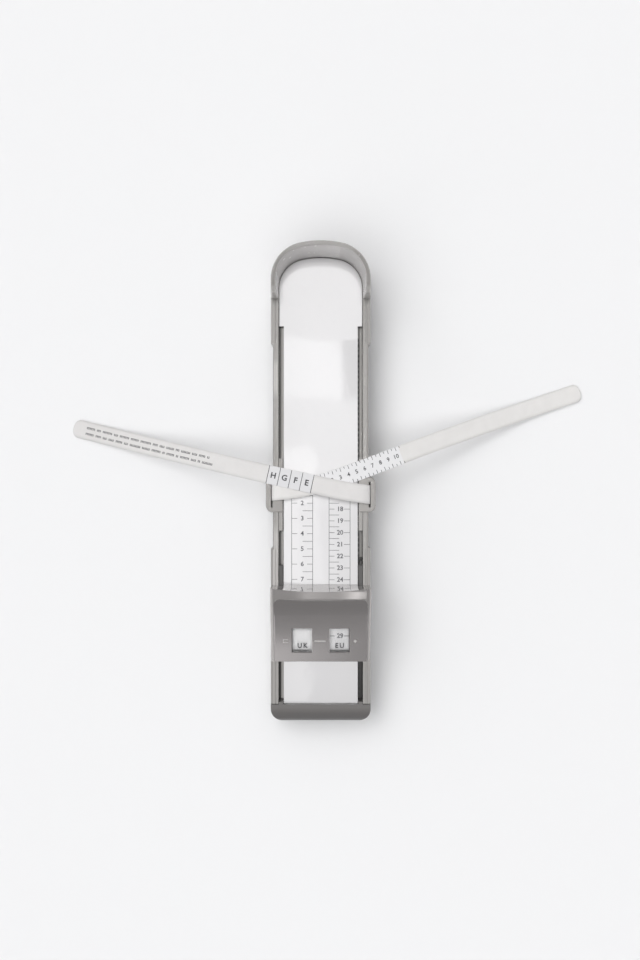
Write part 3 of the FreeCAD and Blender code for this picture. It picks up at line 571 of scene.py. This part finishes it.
def rail_polish(at):
    """Painted highlight on the left rail's top, paler in two stretches."""
    along = at.y.band(47, 53, 66, 70) | at.y.band(-20, -27, -80, -90)
    top = at.z.ramp(17.0, 17.5) * at.level.ramp(0.90, 0.98)
    return at.x.band(-26.8, -26.2, -24.0, -23.6) * along * top


def rail_edge(at):
    """Painted shade along the left rail's outer edge, a little darker."""
    edge = (at.x + at.y.ramp(-36, -35) * -0.6).ramp(-26.3, -26.7)
    return edge * at.y.ramp(78, 76) * at.z.band(15.0, 16.5, 19.5, 20.0) * 0.7


def parting_dirt(at):
    """Dirt in the joint between the tray and the cap, seen along the rails' tops."""
    return at.y.ramp(-120.2, -120.5) * at.z.ramp(16.5, 17.0) * 0.8


def cup_polish(at):
    """Painted light on the upright inner wall of the heel cup, which is made paler."""
    return at.level.ramp(0.6, 0.3) * at.y.ramp(94, 104)


def front_handling(at):
    """Painted shade on the cap, darker towards its front edge."""
    return at.y.ramp(-122.5, -128.5)


# Each region with its colour: painted light, painted shade and a painted highlight, and dirt in the joint
# before the cap.
TRAY_TINTS = [(cup_polish, (0.56, 0.54, 0.525)), (rim_handling, (0.22, 0.21, 0.205)),
              (rail_polish, (0.60, 0.58, 0.565)), (rail_edge, (0.26, 0.25, 0.24)),
              (rail_groove, (0.27, 0.26, 0.25)), (channel_dirt, (0.02, 0.02, 0.02)),
              (parting_dirt, (0.03, 0.03, 0.03))]
# The cap's one region is painted shade.
CAP_TINTS = [(front_handling, (0.095, 0.09, 0.088))]
print("regions of the tray:", [region.__name__ for region, tint in TRAY_TINTS])

# %% The finishes
finishes = {
    "tray": moulded("silver_grey_tray", (0.425, 0.41, 0.395), (0.445, 0.43, 0.415),
                    (0.54, 0.53, 0.52), 0.14, metallic=0.2, grain_depth=0.04, dust=0.05,
                    tints=TRAY_TINTS),
    "end_cap": moulded("mid_grey_cap", (0.175, 0.167, 0.163), (0.185, 0.177, 0.172),
                       (0.28, 0.27, 0.265), 0.30, grain_depth=0.06, dust=0.05, tints=CAP_TINTS),
    "slider": moulded("glossy_slider_grey", (0.44, 0.42, 0.41), (0.455, 0.435, 0.425),
                      (0.52, 0.51, 0.50), 0.06, metallic=0.57, grain_depth=0.01, smear=0.03,
                      dust=0.1),
    "panel": moulded("dark_pearl_panel", (0.445, 0.42, 0.412), (0.455, 0.43, 0.422),
                     (0.52, 0.50, 0.49), 0.045, metallic=0.77, grain_depth=0.0, smear=0.02,
                     dust=0.1),
    "runner": moulded("dull_runner_grey", (0.13, 0.128, 0.125), (0.145, 0.142, 0.14),
                      (0.22, 0.215, 0.21), 0.45, grain_depth=0.2, dust=0.05),
    "rack": moulded("dark_rack", (0.05, 0.049, 0.048), (0.06, 0.059, 0.058),
                    (0.11, 0.108, 0.105), 0.40, grain_depth=0.1, dust=0.05),
    "lining": moulded("white_lining", (0.86, 0.86, 0.865), (0.89, 0.89, 0.895),
                      (0.90, 0.90, 0.90), 0.10, grain_depth=0.01, dust=0.0, radius=0.1),
    # The marks' pale grey is a painted highlight, for the light their raised edges catch.
    "mark": moulded("raised_mark_painted_highlight", (0.62, 0.60, 0.585), (0.64, 0.62, 0.605),
                    (0.70, 0.69, 0.68), 0.25, metallic=0.2, grain_depth=0.02, dust=0.05),
    "bracket": moulded("silver_grey_bracket", (0.41, 0.395, 0.38), (0.43, 0.415, 0.40),
                       (0.52, 0.51, 0.50), 0.16, metallic=0.2, grain_depth=0.04, dust=0.05),
    "pad": moulded("black_rubber", (0.022, 0.022, 0.023), (0.03, 0.03, 0.03),
                   (0.06, 0.06, 0.06), 0.78, grain=2600.0, grain_depth=0.6, radius=0.6),
    "screw": moulded("zinc_screw", (0.52, 0.52, 0.50), (0.58, 0.575, 0.56),
                     (0.75, 0.75, 0.74), 0.28, metallic=1.0, grain=9000.0, grain_depth=0.2,
                     radius=0.12, dust=0.1, smear=0.15),
}
print("moulded finishes:", sorted(finishes))

# %% [markdown]
# ## The white plate and the windows
# The plate is printed sheet under a clear, very smooth lacquer, so it mirrors the softboxes.
# A clear coat on a white base gives that.  The lacquer isn't quite flat: a broad, weak bump
# makes the mirrored edges wander a little, as they do on real sheet.  The windows are clear
# and have faint wiping marks.

# %% Plate and windows
def plate_finish():
    """White printed sheet below clear lacquer."""
    material, tree, shader = new_material("lacquered_white_plate", IOR=1.5, Coat_Weight=0.3,
                                          Coat_Roughness=0.03)
    grains = use_in(tree, grain_group, Grains_per_metre=2600.0, Flow_per_metre=14.0)
    marks = use_in(tree, use_group, Smears_per_metre=26.0, Scratches_per_metre=520.0)
    edges = use_in(tree, edge_group, Radius=0.2 * MM)
    base = mix_colours(grains["Flow"], (0.683, 0.676, 0.683), (0.697, 0.688, 0.695))
    give(shader.inputs["Base Color"], mix_colours(marks["Dust"] * 0.12, base, (0.60, 0.59, 0.58)))
    roughen(shader, 0.025, (marks["Smear"], 0.04), (marks["Scratch"], 0.08))
    emboss(shader, grains["Flow"], 0.25, 0.4, Normal=edges["Normal"])
    return material


def lens_finish():
    """Clear moulded window with faint wiping marks."""
    material, tree, shader = new_material("clear_window", Base_Color=(0.97, 0.98, 0.985), IOR=1.49,
                                          Coat_Weight=1.0, Coat_Roughness=0.03)
    marks = use_in(tree, use_group, Smears_per_metre=140.0)
    roughen(shader, 0.04, (marks["Smear"], 0.08))
    give(shader.inputs["Alpha"], marks["Smear"] * 0.03 + 0.06)
    return material


finishes["plate"] = plate_finish()
finishes["lens"] = lens_finish()
print("finishes so far:", len(finishes))

# %% [markdown]
# ## The tapes' paper
# The tapes are cut from coated, tear-proof paper.  It is nearly white, a little warm, and its
# fibres show as a faint cloudiness.  The pattern follows the paper's own UV map, because the
# tape bends and a pattern in space would cut through it.

# %% Paper and ink
def paper_finish(name, colour, cloud_colour):
    """Coated paper whose fibres follow the tape."""
    material, tree, shader = new_material(name, IOR=1.46)
    where = place_in(tree, "UV")
    stretch = signal(tree, "ShaderNodeMapping", "Vector", Vector=where, Scale=(700.0, 2600.0, 1.0))
    fibres = noise(tree, stretch, 1.0, 4.0, Distortion=1.5)
    cloudy = noise(tree, where, 160.0, 3.0).ramp(0.35, 0.65)
    give(shader.inputs["Base Color"], mix_colours(cloudy, colour, cloud_colour))
    roughen(shader, 0.36, (fibres, 0.2))
    emboss(shader, fibres, 0.15, 0.03)
    return material


def ink_finish(name, colour, faded_colour):
    """Printing ink, a little uneven where it took less well."""
    material, tree, shader = new_material(name)
    grains = use_in(tree, grain_group, Grains_per_metre=9000.0, Flow_per_metre=900.0)
    give(shader.inputs["Base Color"], mix_colours(grains["Flow"], colour, faded_colour))
    roughen(shader, 0.30, (grains["Height"], 0.15))
    return material


finishes["tape"] = paper_finish("coated_paper", (0.715, 0.70, 0.69), (0.74, 0.725, 0.715))
ruler_paper = paper_finish("coated_ruler_paper", (0.755, 0.74, 0.725), (0.78, 0.765, 0.75))
white_ground = paper_finish("printed_white", (0.72, 0.715, 0.725), (0.735, 0.73, 0.74))
ruler_white = paper_finish("printed_ruler_white", (0.80, 0.795, 0.805), (0.815, 0.81, 0.82))
plate_ink = ink_finish("grey_scale_ink", (0.13, 0.13, 0.14), (0.17, 0.17, 0.18))
tape_ink = ink_finish("black_tape_ink", (0.055, 0.055, 0.06), (0.09, 0.09, 0.095))
print("paper and inks are mixed")

# %% Put the finishes on the solids
for entry in frame["record"]["subparts"]:
    solid = nodes[entry["node"]]
    solid.data.materials.clear()
    solid.data.materials.append(finishes[entry["material_slot"]])
nodes["click_rack"].data.materials[0] = finishes["rack"]

# %% [markdown]
# ## Cutting the tapes
# The strip of paper is 10.2 mm wide with round corners at its free end.  Its outline could be
# cut by a boolean, but it is simpler to let the strip's half width shrink near the end.

# %% The paper strips
TAPE_WIDTH = 10.2 * MM
TAPE_THICKNESS = 0.35 * MM
END_RADIUS = 4.0 * MM
STATION_STEP = 0.7 * MM
CORNER_STEPS = 12
COLUMNS = (-1.0, -0.6, -0.2, 0.2, 0.6, 1.0)


def add_piece(name, mesh, material, body):
    """An object for a finished mesh, riding on its body."""
    if material is not None:
        mesh.materials.clear()
        mesh.materials.append(material)
    piece = bpy.data.objects.new(name, mesh)
    scene.collection.objects.link(piece)
    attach(piece, body)
    print(name, "has", len(mesh.polygons), "faces")
    return piece


def new_mesh(name, verts, faces):
    """A mesh from its points and faces."""
    mesh = bpy.data.meshes.new(name)
    mesh.from_pydata(verts, [], faces)
    return mesh


def half_width(ribbon, along):
    """Half the strip's width, rounded off at the free end."""
    left = ribbon.length - along
    if left >= END_RADIUS:
        return TAPE_WIDTH / 2
    drop = END_RADIUS - math.sqrt(max(0.0, END_RADIUS ** 2 - (END_RADIUS - left) ** 2))
    return TAPE_WIDTH / 2 - drop


def cut_strip(name, ribbon):
    """The flat paper along a ribbon, with a UV map in metres along and across."""
    body_length = ribbon.length - END_RADIUS
    count = int(body_length / STATION_STEP)
    stations = [body_length * i / count for i in range(count)]
    for i in range(CORNER_STEPS + 1):
        stations.append(ribbon.length - END_RADIUS * math.cos(math.pi / 2 * i / CORNER_STEPS))
    uvs = [(along, column * half_width(ribbon, along)) for along in stations for column in COLUMNS]
    wide = len(COLUMNS)
    faces = [(a, a + wide, a + wide + 1, a + 1)
             for i in range(len(stations) - 1) for a in range(i * wide, (i + 1) * wide - 1)]
    mesh = new_mesh(name, [ribbon.place(along, across, 0.0) for along, across in uvs], faces)
    layer = mesh.uv_layers.new(name="paper")
    for loop in mesh.loops:
        layer.data[loop.index].uv = uvs[loop.vertex_index]
    if mesh.polygons[len(faces) // 2].normal.z < 0:
        mesh.flip_normals()
    mesh.polygons.foreach_set("use_smooth", [True] * len(mesh.polygons))
    return mesh


for name, ribbon, sheet in (("letter_tape_paper", letter_ribbon, finishes["tape"]),
                            ("number_tape_paper", number_ribbon, ruler_paper)):
    paper = add_piece(name, cut_strip(name, ribbon), sheet, "tape_carrier")
    solidify = paper.modifiers.new("thickness", "SOLIDIFY")
    solidify.thickness = TAPE_THICKNESS
    solidify.offset = 0.0
    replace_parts(paper, name.replace("_paper", ""))

# %% [markdown]
# ## Rows of equal things
# Scales are rows of equal strokes, and dividing lines on a tape are too.  Drawing them one by
# one is slow to change.  A small Geometry Nodes tree lays bars along a line, with the number,
# the spacing and the size of a bar as named inputs, and one tree serves every scale.

# %% A tree that lays a row of bars
def geometry_tree(name, **inputs):
    """A tree with named inputs, and what its nodes are given."""
    tree = bpy.data.node_groups.new(name, "GeometryNodeTree")
    for title, kind in (inputs | {"Material": "Material"}).items():
        tree.interface.new_socket(name=title.replace("_", " "), in_out="INPUT",
                                  socket_type="NodeSocket" + kind)
    return tree, tree.nodes.new("NodeGroupInput").outputs


def finish_tree(tree, geometry, given):
    """Instances made real and given their material, as every tree here ends."""
    real = signal(tree, "GeometryNodeRealizeInstances", "Geometry", Geometry=geometry)
    coat = signal(tree, "GeometryNodeSetMaterial", "Geometry", Geometry=real,
                  Material=given["Material"])
    tree.interface.new_socket(name="Geometry", in_out="OUTPUT", socket_type="NodeSocketGeometry")
    give(tree.nodes.new("NodeGroupOutput").inputs["Geometry"], coat)
    print("tree", tree.name, "has", len(tree.nodes), "nodes")


def grow(name, tree, values):
    """The plain mesh that a tree makes from these named values."""
    seed = bpy.data.meshes.new(name)
    holder = bpy.data.objects.new(name, seed)
    scene.collection.objects.link(holder)
    modifier = holder.modifiers.new("nodes", "NODES")
    modifier.node_group = tree
    for item in tree.interface.items_tree:
        if item.in_out == "INPUT":
            modifier[item.identifier] = values[item.name]
    shown = holder.evaluated_get(bpy.context.evaluated_depsgraph_get())
    mesh = bpy.data.meshes.new_from_object(shown)
    holder.modifiers.remove(modifier)
    bpy.data.objects.remove(holder)
    bpy.data.meshes.remove(seed)
    return mesh


def vector(tree, **parts):
    """Numbers or signals for X, Y and Z as one vector."""
    return signal(tree, "ShaderNodeCombineXYZ", "Vector", **parts)


def copies(tree, points, thing):
    """A copy of a thing at each point."""
    return signal(tree, "GeometryNodeInstanceOnPoints", "Instances", Points=points, Instance=thing)


bar_row, given = geometry_tree("row_of_bars", Count="Int", Spacing="Float", Length="Float",
                               Width="Float", Thickness="Float")
line = signal(bar_row, "GeometryNodeMeshLine", "Mesh", Count=given["Count"],
              Offset=vector(bar_row, Y=given["Spacing"]))
size = vector(bar_row, X=given["Length"], Y=given["Width"], Z=given["Thickness"])
bar = signal(bar_row, "GeometryNodeMeshCube", "Mesh", Size=size)
finish_tree(bar_row, copies(bar_row, line, bar), given)

# %% Strokes and lettering as thin ink
INK = 0.02 * MM
ON_TOP = 0.6 * INK  # lifts a film of ink just clear of what it is printed on
CAP_SHARE = 0.69    # height of a capital letter in the built-in font, as a share of its size


def strokes(ink, length, width, x, y, count=1, spacing=1.0):
    """A stroke at (x, y), or a row of them that goes on along y, all in millimetres."""
    mesh = grow("strokes", bar_row, {"Count": count, "Spacing": spacing * MM, "Length": length * MM,
                                     "Width": width * MM, "Thickness": INK, "Material": ink})
    mesh.transform(Matrix.Translation((x * MM, y * MM, 0)))
    return mesh


def lettering(text, cap_height, weight, x, y, spacing=1.0):
    """Flat text, centred on (x, y) in millimetres, made a thin mesh."""
    curve = bpy.data.curves.new(text, "FONT")
    curve.body = text
    curve.size = cap_height / CAP_SHARE
    curve.offset = weight
    curve.space_character = spacing
    curve.align_x = "CENTER"
    curve.align_y = "CENTER"
    curve.resolution_u = 3
    curve.extrude = 0.5 * INK / MM
    mesh = mesh_of(text, curve)
    mesh.transform(Matrix.Translation((x * MM, y * MM, 0)) @ Matrix.Diagonal((MM, MM, MM, 1)))
    return mesh


def joined(name, meshes, height=0.0):
    """Several meshes as one, lifted to a height."""
    verts, faces = [], []
    for mesh in meshes:
        start = len(verts)
        verts += [v.co + Vector((0, 0, height)) for v in mesh.vertices]
        faces += [[start + i for i in polygon.vertices] for polygon in mesh.polygons]
        bpy.data.meshes.remove(mesh)
    return new_mesh(name, verts, faces)


print("a film of ink is", INK / MM, "mm thick")

# %% [markdown]
# ## The two scales on the plate
# Sizes are printed in two long boxes: British sizes on the left, a third of an inch apart, and
# European sizes on the right, about two thirds of a centimetre apart.  Ink is a thin film.  It
# could be a picture on the plate, but as real film it stays sharp however close the eye comes.

# %% Scales
BOX_TOP = 2.0
UK_LEFT, UK_RIGHT, UK_NUMBERS = -16.15, -4.5, -10.25
UK_FIRST, UK_LAST, UK_FIRST_Y, UK_STEP = 2, 10, -9.97, -8.467
UK_FOOT = UK_FIRST_Y + UK_STEP * (UK_LAST - UK_FIRST) - 2.6
EU_LEFT, EU_RIGHT, EU_NUMBERS = 4.65, 16.3, 10.75
EU_FIRST, EU_LAST, EU_FIRST_Y, EU_FOOT = 18, 29, -13.28, -92.0
EU_CLOSER, EU_STEP, EU_CLOSER_STEP = 24, -6.54, -6.245
THIN, THICK = 0.27, 0.5
LONG, LONGER, HALF_MARK = 3.0, 3.4, 5.6
UK_LONG = 3.1
NUMBER_HEIGHT = 2.45


def box(left, right, foot):
    """The four lines round one scale."""
    lines = [strokes(plate_ink, THIN, BOX_TOP - foot, x, (BOX_TOP + foot) / 2) for x in (left, right)]
    return lines + [strokes(plate_ink, right - left + THIN, THIN, (left + right) / 2, y)
                    for y in (BOX_TOP, foot)]


def uk_scale():
    """Whole sizes with a number between two strokes, and half sizes with one stroke."""
    row = {"count": UK_LAST - UK_FIRST + 1, "spacing": UK_STEP}
    ink = [strokes(plate_ink, UK_LONG, THIN, UK_LEFT + UK_LONG / 2, UK_FIRST_Y, **row),
           strokes(plate_ink, UK_LONG, THIN, UK_RIGHT - UK_LONG / 2, UK_FIRST_Y, **row),
           strokes(plate_ink, HALF_MARK, THIN, UK_RIGHT - HALF_MARK / 2, UK_FIRST_Y - UK_STEP / 2, **row)]
    for i in range(row["count"]):
        number = str(UK_FIRST + i)
        ink.append(lettering(number, NUMBER_HEIGHT, 0.08, UK_NUMBERS, UK_FIRST_Y + i * UK_STEP))
    return ink


def eu_scale():
    """The same for European sizes; the last one is bolder, to be read through the window."""
    ink, y = [], EU_FIRST_Y
    for number in range(EU_FIRST, EU_LAST + 1):
        step = EU_STEP if number < EU_CLOSER else EU_CLOSER_STEP
        width, weight = (THICK, 0.15) if number == EU_LAST else (THIN, 0.08)
        ink.append(strokes(plate_ink, LONG, width, EU_LEFT + LONG / 2, y))
        ink.append(strokes(plate_ink, LONGER, width, EU_RIGHT - LONGER / 2, y))
        if number < EU_LAST - 1:
            ink.append(strokes(plate_ink, HALF_MARK, THIN, EU_LEFT + HALF_MARK / 2, y - step / 2))
        ink.append(lettering(str(number), NUMBER_HEIGHT, weight, EU_NUMBERS, y))
        y += step
    return ink


boxes = box(UK_LEFT, UK_RIGHT, UK_FOOT) + box(EU_LEFT, EU_RIGHT, EU_FOOT)
scales = joined("size_scales", boxes + uk_scale() + eu_scale(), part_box("foot_plate")[1].z + ON_TOP)
add_piece("size_scales", scales, plate_ink, "base")

# %% [markdown]
# ## Printing on the tapes
# The printed part of each tape has its own white ground, and on it letters in cells or a
# ruler with numbers.  They are laid out flat, like the printer does, and then every point is
# carried onto the tape by the tape's own axes.

# %% Carry a flat layout onto a tape
GROUND_STEP = 0.8
GROUND_HALF = 5.05


def carried(mesh, ribbon, lift):
    """The flat mesh wrapped onto a ribbon: x goes along it, y across and z above it."""
    for vertex in mesh.vertices:
        x, y, z = vertex.co
        along = -x if ribbon.leftward else x
        vertex.co = ribbon.place(along, y, TAPE_THICKNESS / 2 + lift + z)
    mesh.update()
    return mesh


def ground(name, start, end):
    """A thin white ground between two lengths, cut into short pieces so that it can bend."""
    count = max(2, int(abs(end - start) / GROUND_STEP))
    half = GROUND_HALF * MM
    verts, faces = [], []
    for i in range(count + 1):
        x = (start + (end - start) * i / count) * MM
        verts += [(x, -half, 0), (x, half, 0), (x, half, INK), (x, -half, INK)]
    for a in range(0, count * 4, 4):
        for j in range(4):
            k = (j + 1) % 4
            faces.append((a + j, a + k, a + 4 + k, a + 4 + j))
    last = count * 4
    faces += [(3, 2, 1, 0), (last, last + 1, last + 2, last + 3)]
    return new_mesh(name, verts, faces)


def outward(mesh):
    """Normals turned to the outside of a closed mesh."""
    work = bmesh.new()
    work.from_mesh(mesh)
    bmesh.ops.recalc_face_normals(work, faces=work.faces)
    work.to_mesh(mesh)
    work.free()
    return mesh


print("the ground is cut every", GROUND_STEP, "mm")

# %% Letters in cells
CELL_LETTERS = "EFGH"
CELL_START, CELL_PITCH = 53.6, 6.25
CELL_END = CELL_START + CELL_PITCH * len(CELL_LETTERS)
DIVIDER = {"count": 9, "spacing": 1.12}  # short strokes that overlap, so that the line can bend
WORD_STEP, WORD_GAP = 0.82, 1.75

letter_ground = outward(carried(ground("letter_ground", -CELL_START, -CELL_END), letter_ribbon, 0.0))
letter_ink = []
for i in range(len(CELL_LETTERS) + 1):
    letter_ink.append(strokes(tape_ink, 0.34, 1.13, -CELL_START - i * CELL_PITCH, -4.48, **DIVIDER))
for i, letter in enumerate(CELL_LETTERS):
    letter_ink.append(lettering(letter, 3.0, 0.12, -CELL_START - (i + 0.5) * CELL_PITCH, -0.1))


def small_print(start, end, y, turn):
    """Groups of upright strokes, as grey as small words but with nothing to read."""
    marks, x = [], start
    while x < end:
        turn = (turn * 37 + 11) % 101
        letters = 2 + turn % 7
        row = strokes(tape_ink, 1.2, 0.40, 0, 0, count=letters, spacing=WORD_STEP)
        row.transform(Matrix.Translation((x * MM, y * MM, 0)) @ Matrix.Rotation(-math.pi / 2, 4, "Z"))
        length = (letters - 1) * WORD_STEP
        middle = y + (0.46 if turn % 3 else -0.46)
        marks += [row, strokes(tape_ink, length, 0.2, x + length / 2, middle)]
        x += length + WORD_GAP
    return marks


letter_ink += small_print(-187.5, -114.0, 1.55, 5)
letter_ink += small_print(-187.5, -113.0, -1.75, 8)
letter_print = carried(joined("letter_print", letter_ink), letter_ribbon, INK)
add_piece("letter_ground", letter_ground, white_ground, "tape_carrier")
add_piece("letter_print", letter_print, tape_ink, "tape_carrier")

# %% A ruler with numbers
RULER_TWO, RULER_STEP, RULER_LAST = 52.6, 4.69, 10
RULER_START, RULER_END = 40.0, RULER_TWO + (RULER_LAST - 2) * RULER_STEP + 3.0

ruler_ground = outward(carried(ground("ruler_ground", RULER_START, RULER_END), number_ribbon, 0.0))
ruler_ink = []
for number in range(0, RULER_LAST + 1):
    x = RULER_TWO + (number - 2) * RULER_STEP
    for share, length in ((1 / 4, 2.1), (3 / 4, 1.2)):
        for y in (GROUND_HALF - length / 2, length / 2 - GROUND_HALF):
            ruler_ink.append(strokes(tape_ink, 0.3, length, x + RULER_STEP * share, y))
    ruler_ink.append(lettering(str(number), 2.2, 0.05, x, 0.0))
ruler_print = carried(joined("ruler_print", ruler_ink), number_ribbon, INK)
add_piece("ruler_ground", ruler_ground, ruler_white, "tape_carrier")
add_piece("ruler_print", ruler_print, tape_ink, "tape_carrier")

# %% [markdown]
# ## Screws
# Pairs of small steel screws hold the cap, the runners and the bridge from below.  A screw is
# a head with a slot, a shank and a row of equal thread turns, so it repeats twice over: the
# turns along the shank, and the screw itself on both sides.  One Geometry Nodes tree makes a
# pair from the sizes of its screw.

# %% A tree that makes a pair of screws
SLOT_ANGLE = 0.6


pair, given = geometry_tree(
    "pair_of_screws", Start="Vector", Apart="Float", Head_Radius="Float", Head_Height="Float",
    Shank_Radius="Float", Shank_Length="Float", Turns="Int")
wide, high, thick, long = [Signal(given[title]) for title in (
    "Head Radius", "Head Height", "Shank Radius", "Shank Length")]
core = thick * 0.78
pitch = long.maths("DIVIDE", given["Turns"])
head = signal(pair, "GeometryNodeMeshCone", "Mesh", Vertices=24, Radius_Top=wide,
              Radius_Bottom=wide * 0.8, Depth=high)
cutter = signal(pair, "GeometryNodeMeshCube", "Mesh",
                Size=vector(pair, X=wide * 2.4, Y=wide * 0.3, Z=high))
slot = signal(pair, "GeometryNodeTransform", "Geometry", Geometry=cutter,
              Rotation=(0.0, 0.0, SLOT_ANGLE))
slotted = add_node(pair, "GeometryNodeMeshBoolean", operation="DIFFERENCE", Mesh_2=slot)
give(slotted.inputs["Mesh 1"], head)
shank = signal(pair, "GeometryNodeMeshCylinder", "Mesh", Vertices=16, Radius=core, Depth=long)
lifted = signal(pair, "GeometryNodeTransform", "Geometry", Geometry=shank,
                Translation=vector(pair, Z=high + long * 0.5))
one_turn = signal(pair, "GeometryNodeMeshCone", "Mesh", Vertices=16, Radius_Top=core,
                  Radius_Bottom=thick, Depth=pitch * 0.8)
stack = signal(pair, "GeometryNodeMeshLine", "Mesh", Count=given["Turns"],
               Start_Location=vector(pair, Z=high), Offset=vector(pair, Z=pitch))
whole = add_node(pair, "GeometryNodeJoinGeometry")
for part in (copies(pair, stack, one_turn), lifted, slotted.outputs["Mesh"]):
    give(whole.inputs["Geometry"], part)
places = signal(pair, "GeometryNodeMeshLine", "Mesh", Count=2, Start_Location=given["Start"],
                Offset=vector(pair, X=given["Apart"]))
finish_tree(pair, copies(pair, places, whole.outputs["Geometry"]), given)

# %% Three pairs of screws
for node, body, x, y, z, head_radius, head_height, radius, shank_length in (
        ("end_cap_screws", "base", 10.0, -126.0, 2.9, 1.9, 1.3, 1.05, 8.0),
        ("runner_screws", "toe_slider", 16.45, -64.4, 13.3, 1.9, 1.3, 1.05, 8.5),
        ("bridge_screws", "tape_carrier", 27.75, -13.15, 0.8, 1.1, 0.9, 0.6, 8.1)):
    name = "threaded_" + node
    screws = grow(name, pair, {
        "Start": (-x * MM, y * MM, z * MM), "Apart": 2 * x * MM, "Head Radius": head_radius * MM,
        "Head Height": head_height * MM, "Shank Radius": radius * MM,
        "Shank Length": shank_length * MM, "Turns": 12, "Material": finishes["screw"]})
    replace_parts(add_piece(name, screws, None, body), node)

# %% [markdown]
# ## The slider's windows and marks
# Each window is a clear pane at the bottom of a well.  The wells are partly lined
# with glossy white plastic, which passes light down to the scale, so that the numbers are
# bright.  Thin slabs do that here, white ones on two sides.  On the other two sides grey
# slabs stand where the eye sees the well's walls beside the print; they are painted shade.
# The names of the scales are printed on the panes.

# %% Linings of the wells, and names
SLOPE = math.radians(28.86)
CREST_Y, CREST_AXIS_Z, CREST_RADIUS = -59.6, 19.8, 20.7
WELL_LEDGE, WELL_WALL, WELL_GAP, BELOW_PANEL = 0.46, 0.14, 0.02, 1.3


def slope_height(y):
    """Height of the sloped panel above a place on the slider, all in millimetres."""
    return CREST_AXIS_Z + (CREST_RADIUS + math.sin(SLOPE) * (y - CREST_Y)) / math.cos(SLOPE)


def slab(x0, x1, y0, y1, foot):
    """An upright slab in a well whose top stays below the sloped panel, in millimetres."""
    corners = [(x0, y0), (x1, y0), (x1, y1), (x0, y1)]
    verts = [Vector((x, y, foot)) * MM for x, y in corners]
    verts += [Vector((x, y, slope_height(y) - BELOW_PANEL)) * MM for x, y in corners]
    faces = [(3, 2, 1, 0), (4, 5, 6, 7)]
    faces += [(j, (j + 1) % 4, (j + 1) % 4 + 4, j + 4) for j in range(4)]
    return new_mesh("slab", verts, faces)


def well_walls(node):
    """The white slabs that line one window's well, and the grey slabs of painted shade."""
    low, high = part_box(node)
    x0, x1 = low.x / MM + WELL_LEDGE, high.x / MM - WELL_LEDGE
    y0, y1 = low.y / MM + WELL_LEDGE, high.y / MM - WELL_LEDGE
    inner_y0, inner_y1, foot = y0 + WELL_WALL, y1 - WELL_WALL, high.z / MM + WELL_GAP
    left = slab(x0, x0 + WELL_WALL, inner_y0, inner_y1, foot)
    right = slab(x1 - WELL_WALL, x1, inner_y0, inner_y1, foot)
    inner, outer = (right, left) if x0 < 0 else (left, right)
    return [slab(x0, x1, inner_y1, y1, foot), inner], [slab(x0, x1, y0, inner_y0, foot), outer]


linings, shades = [], []
for node in ("uk_window", "eu_window"):
    bright, dull = well_walls(node)
    linings += bright
    shades += dull
add_piece("well_linings", joined("well_linings", linings), finishes["lining"], "toe_slider")
# Grey slabs of painted shade, in the cap's mid grey.
add_piece("well_painted_shade", joined("well_painted_shade", shades), finishes["end_cap"], "toe_slider")
names = [lettering(name, 2.6, 0.05, x, -88.7, spacing=1.3) for name, x in (("UK", -10.1), ("EU", 10.45))]
names = joined("scale_names", names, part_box("uk_window")[1].z + ON_TOP)
add_piece("scale_names", names, tape_ink, "toe_slider")

# %% Raised marks on the panel
SUNK = 0.05
MARK_Y = -84.4
BAR = [(-3.0, -0.42), (3.0, -0.42), (3.0, 0.42), (-3.0, 0.42)]
DIAMOND = [(0, -1.05), (1.05, 0), (0, 1.05), (-1.05, 0)]
BRACKET = [(-1.5, -1.25), (1.3, -1.25), (1.3, -0.8), (-1.05, -0.8),
           (-1.05, 0.8), (1.3, 0.8), (1.3, 1.25), (-1.5, 1.25)]


def raised(outline, x, height, round_off):
    """A flat form on the sloped panel with softened upper edges, from an outline in mm."""
    work = bmesh.new()
    base = work.faces.new([work.verts.new((u * MM, v * MM, -SUNK * MM)) for u, v in outline])
    for item in bmesh.ops.extrude_face_region(work, geom=[base])["geom"]:
        if isinstance(item, bmesh.types.BMVert):
            item.co.z += (height + SUNK) * MM
    bmesh.ops.recalc_face_normals(work, faces=work.faces)
    rim = [e for e in work.edges if all(v.co.z > 0 for v in e.verts)]
    bmesh.ops.bevel(work, geom=rim, offset=round_off * MM, segments=2, affect="EDGES")
    mesh = bpy.data.meshes.new("mark")
    work.to_mesh(mesh)
    work.free()
    lift = Matrix.Translation((x * MM, MARK_Y * MM, slope_height(MARK_Y) * MM))
    mesh.transform(lift @ Matrix.Rotation(SLOPE, 4, "X"))
    return mesh


# The marks' pale finish is a painted highlight.
marks = [raised(BAR, -0.4, 0.3, 0.12), raised(DIAMOND, 18.7, 0.35, 0.12),
         raised(BRACKET, -19.0, 0.25, 0.08)]
add_piece("panel_marks", outward(joined("panel_marks", marks)), finishes["mark"], "toe_slider")
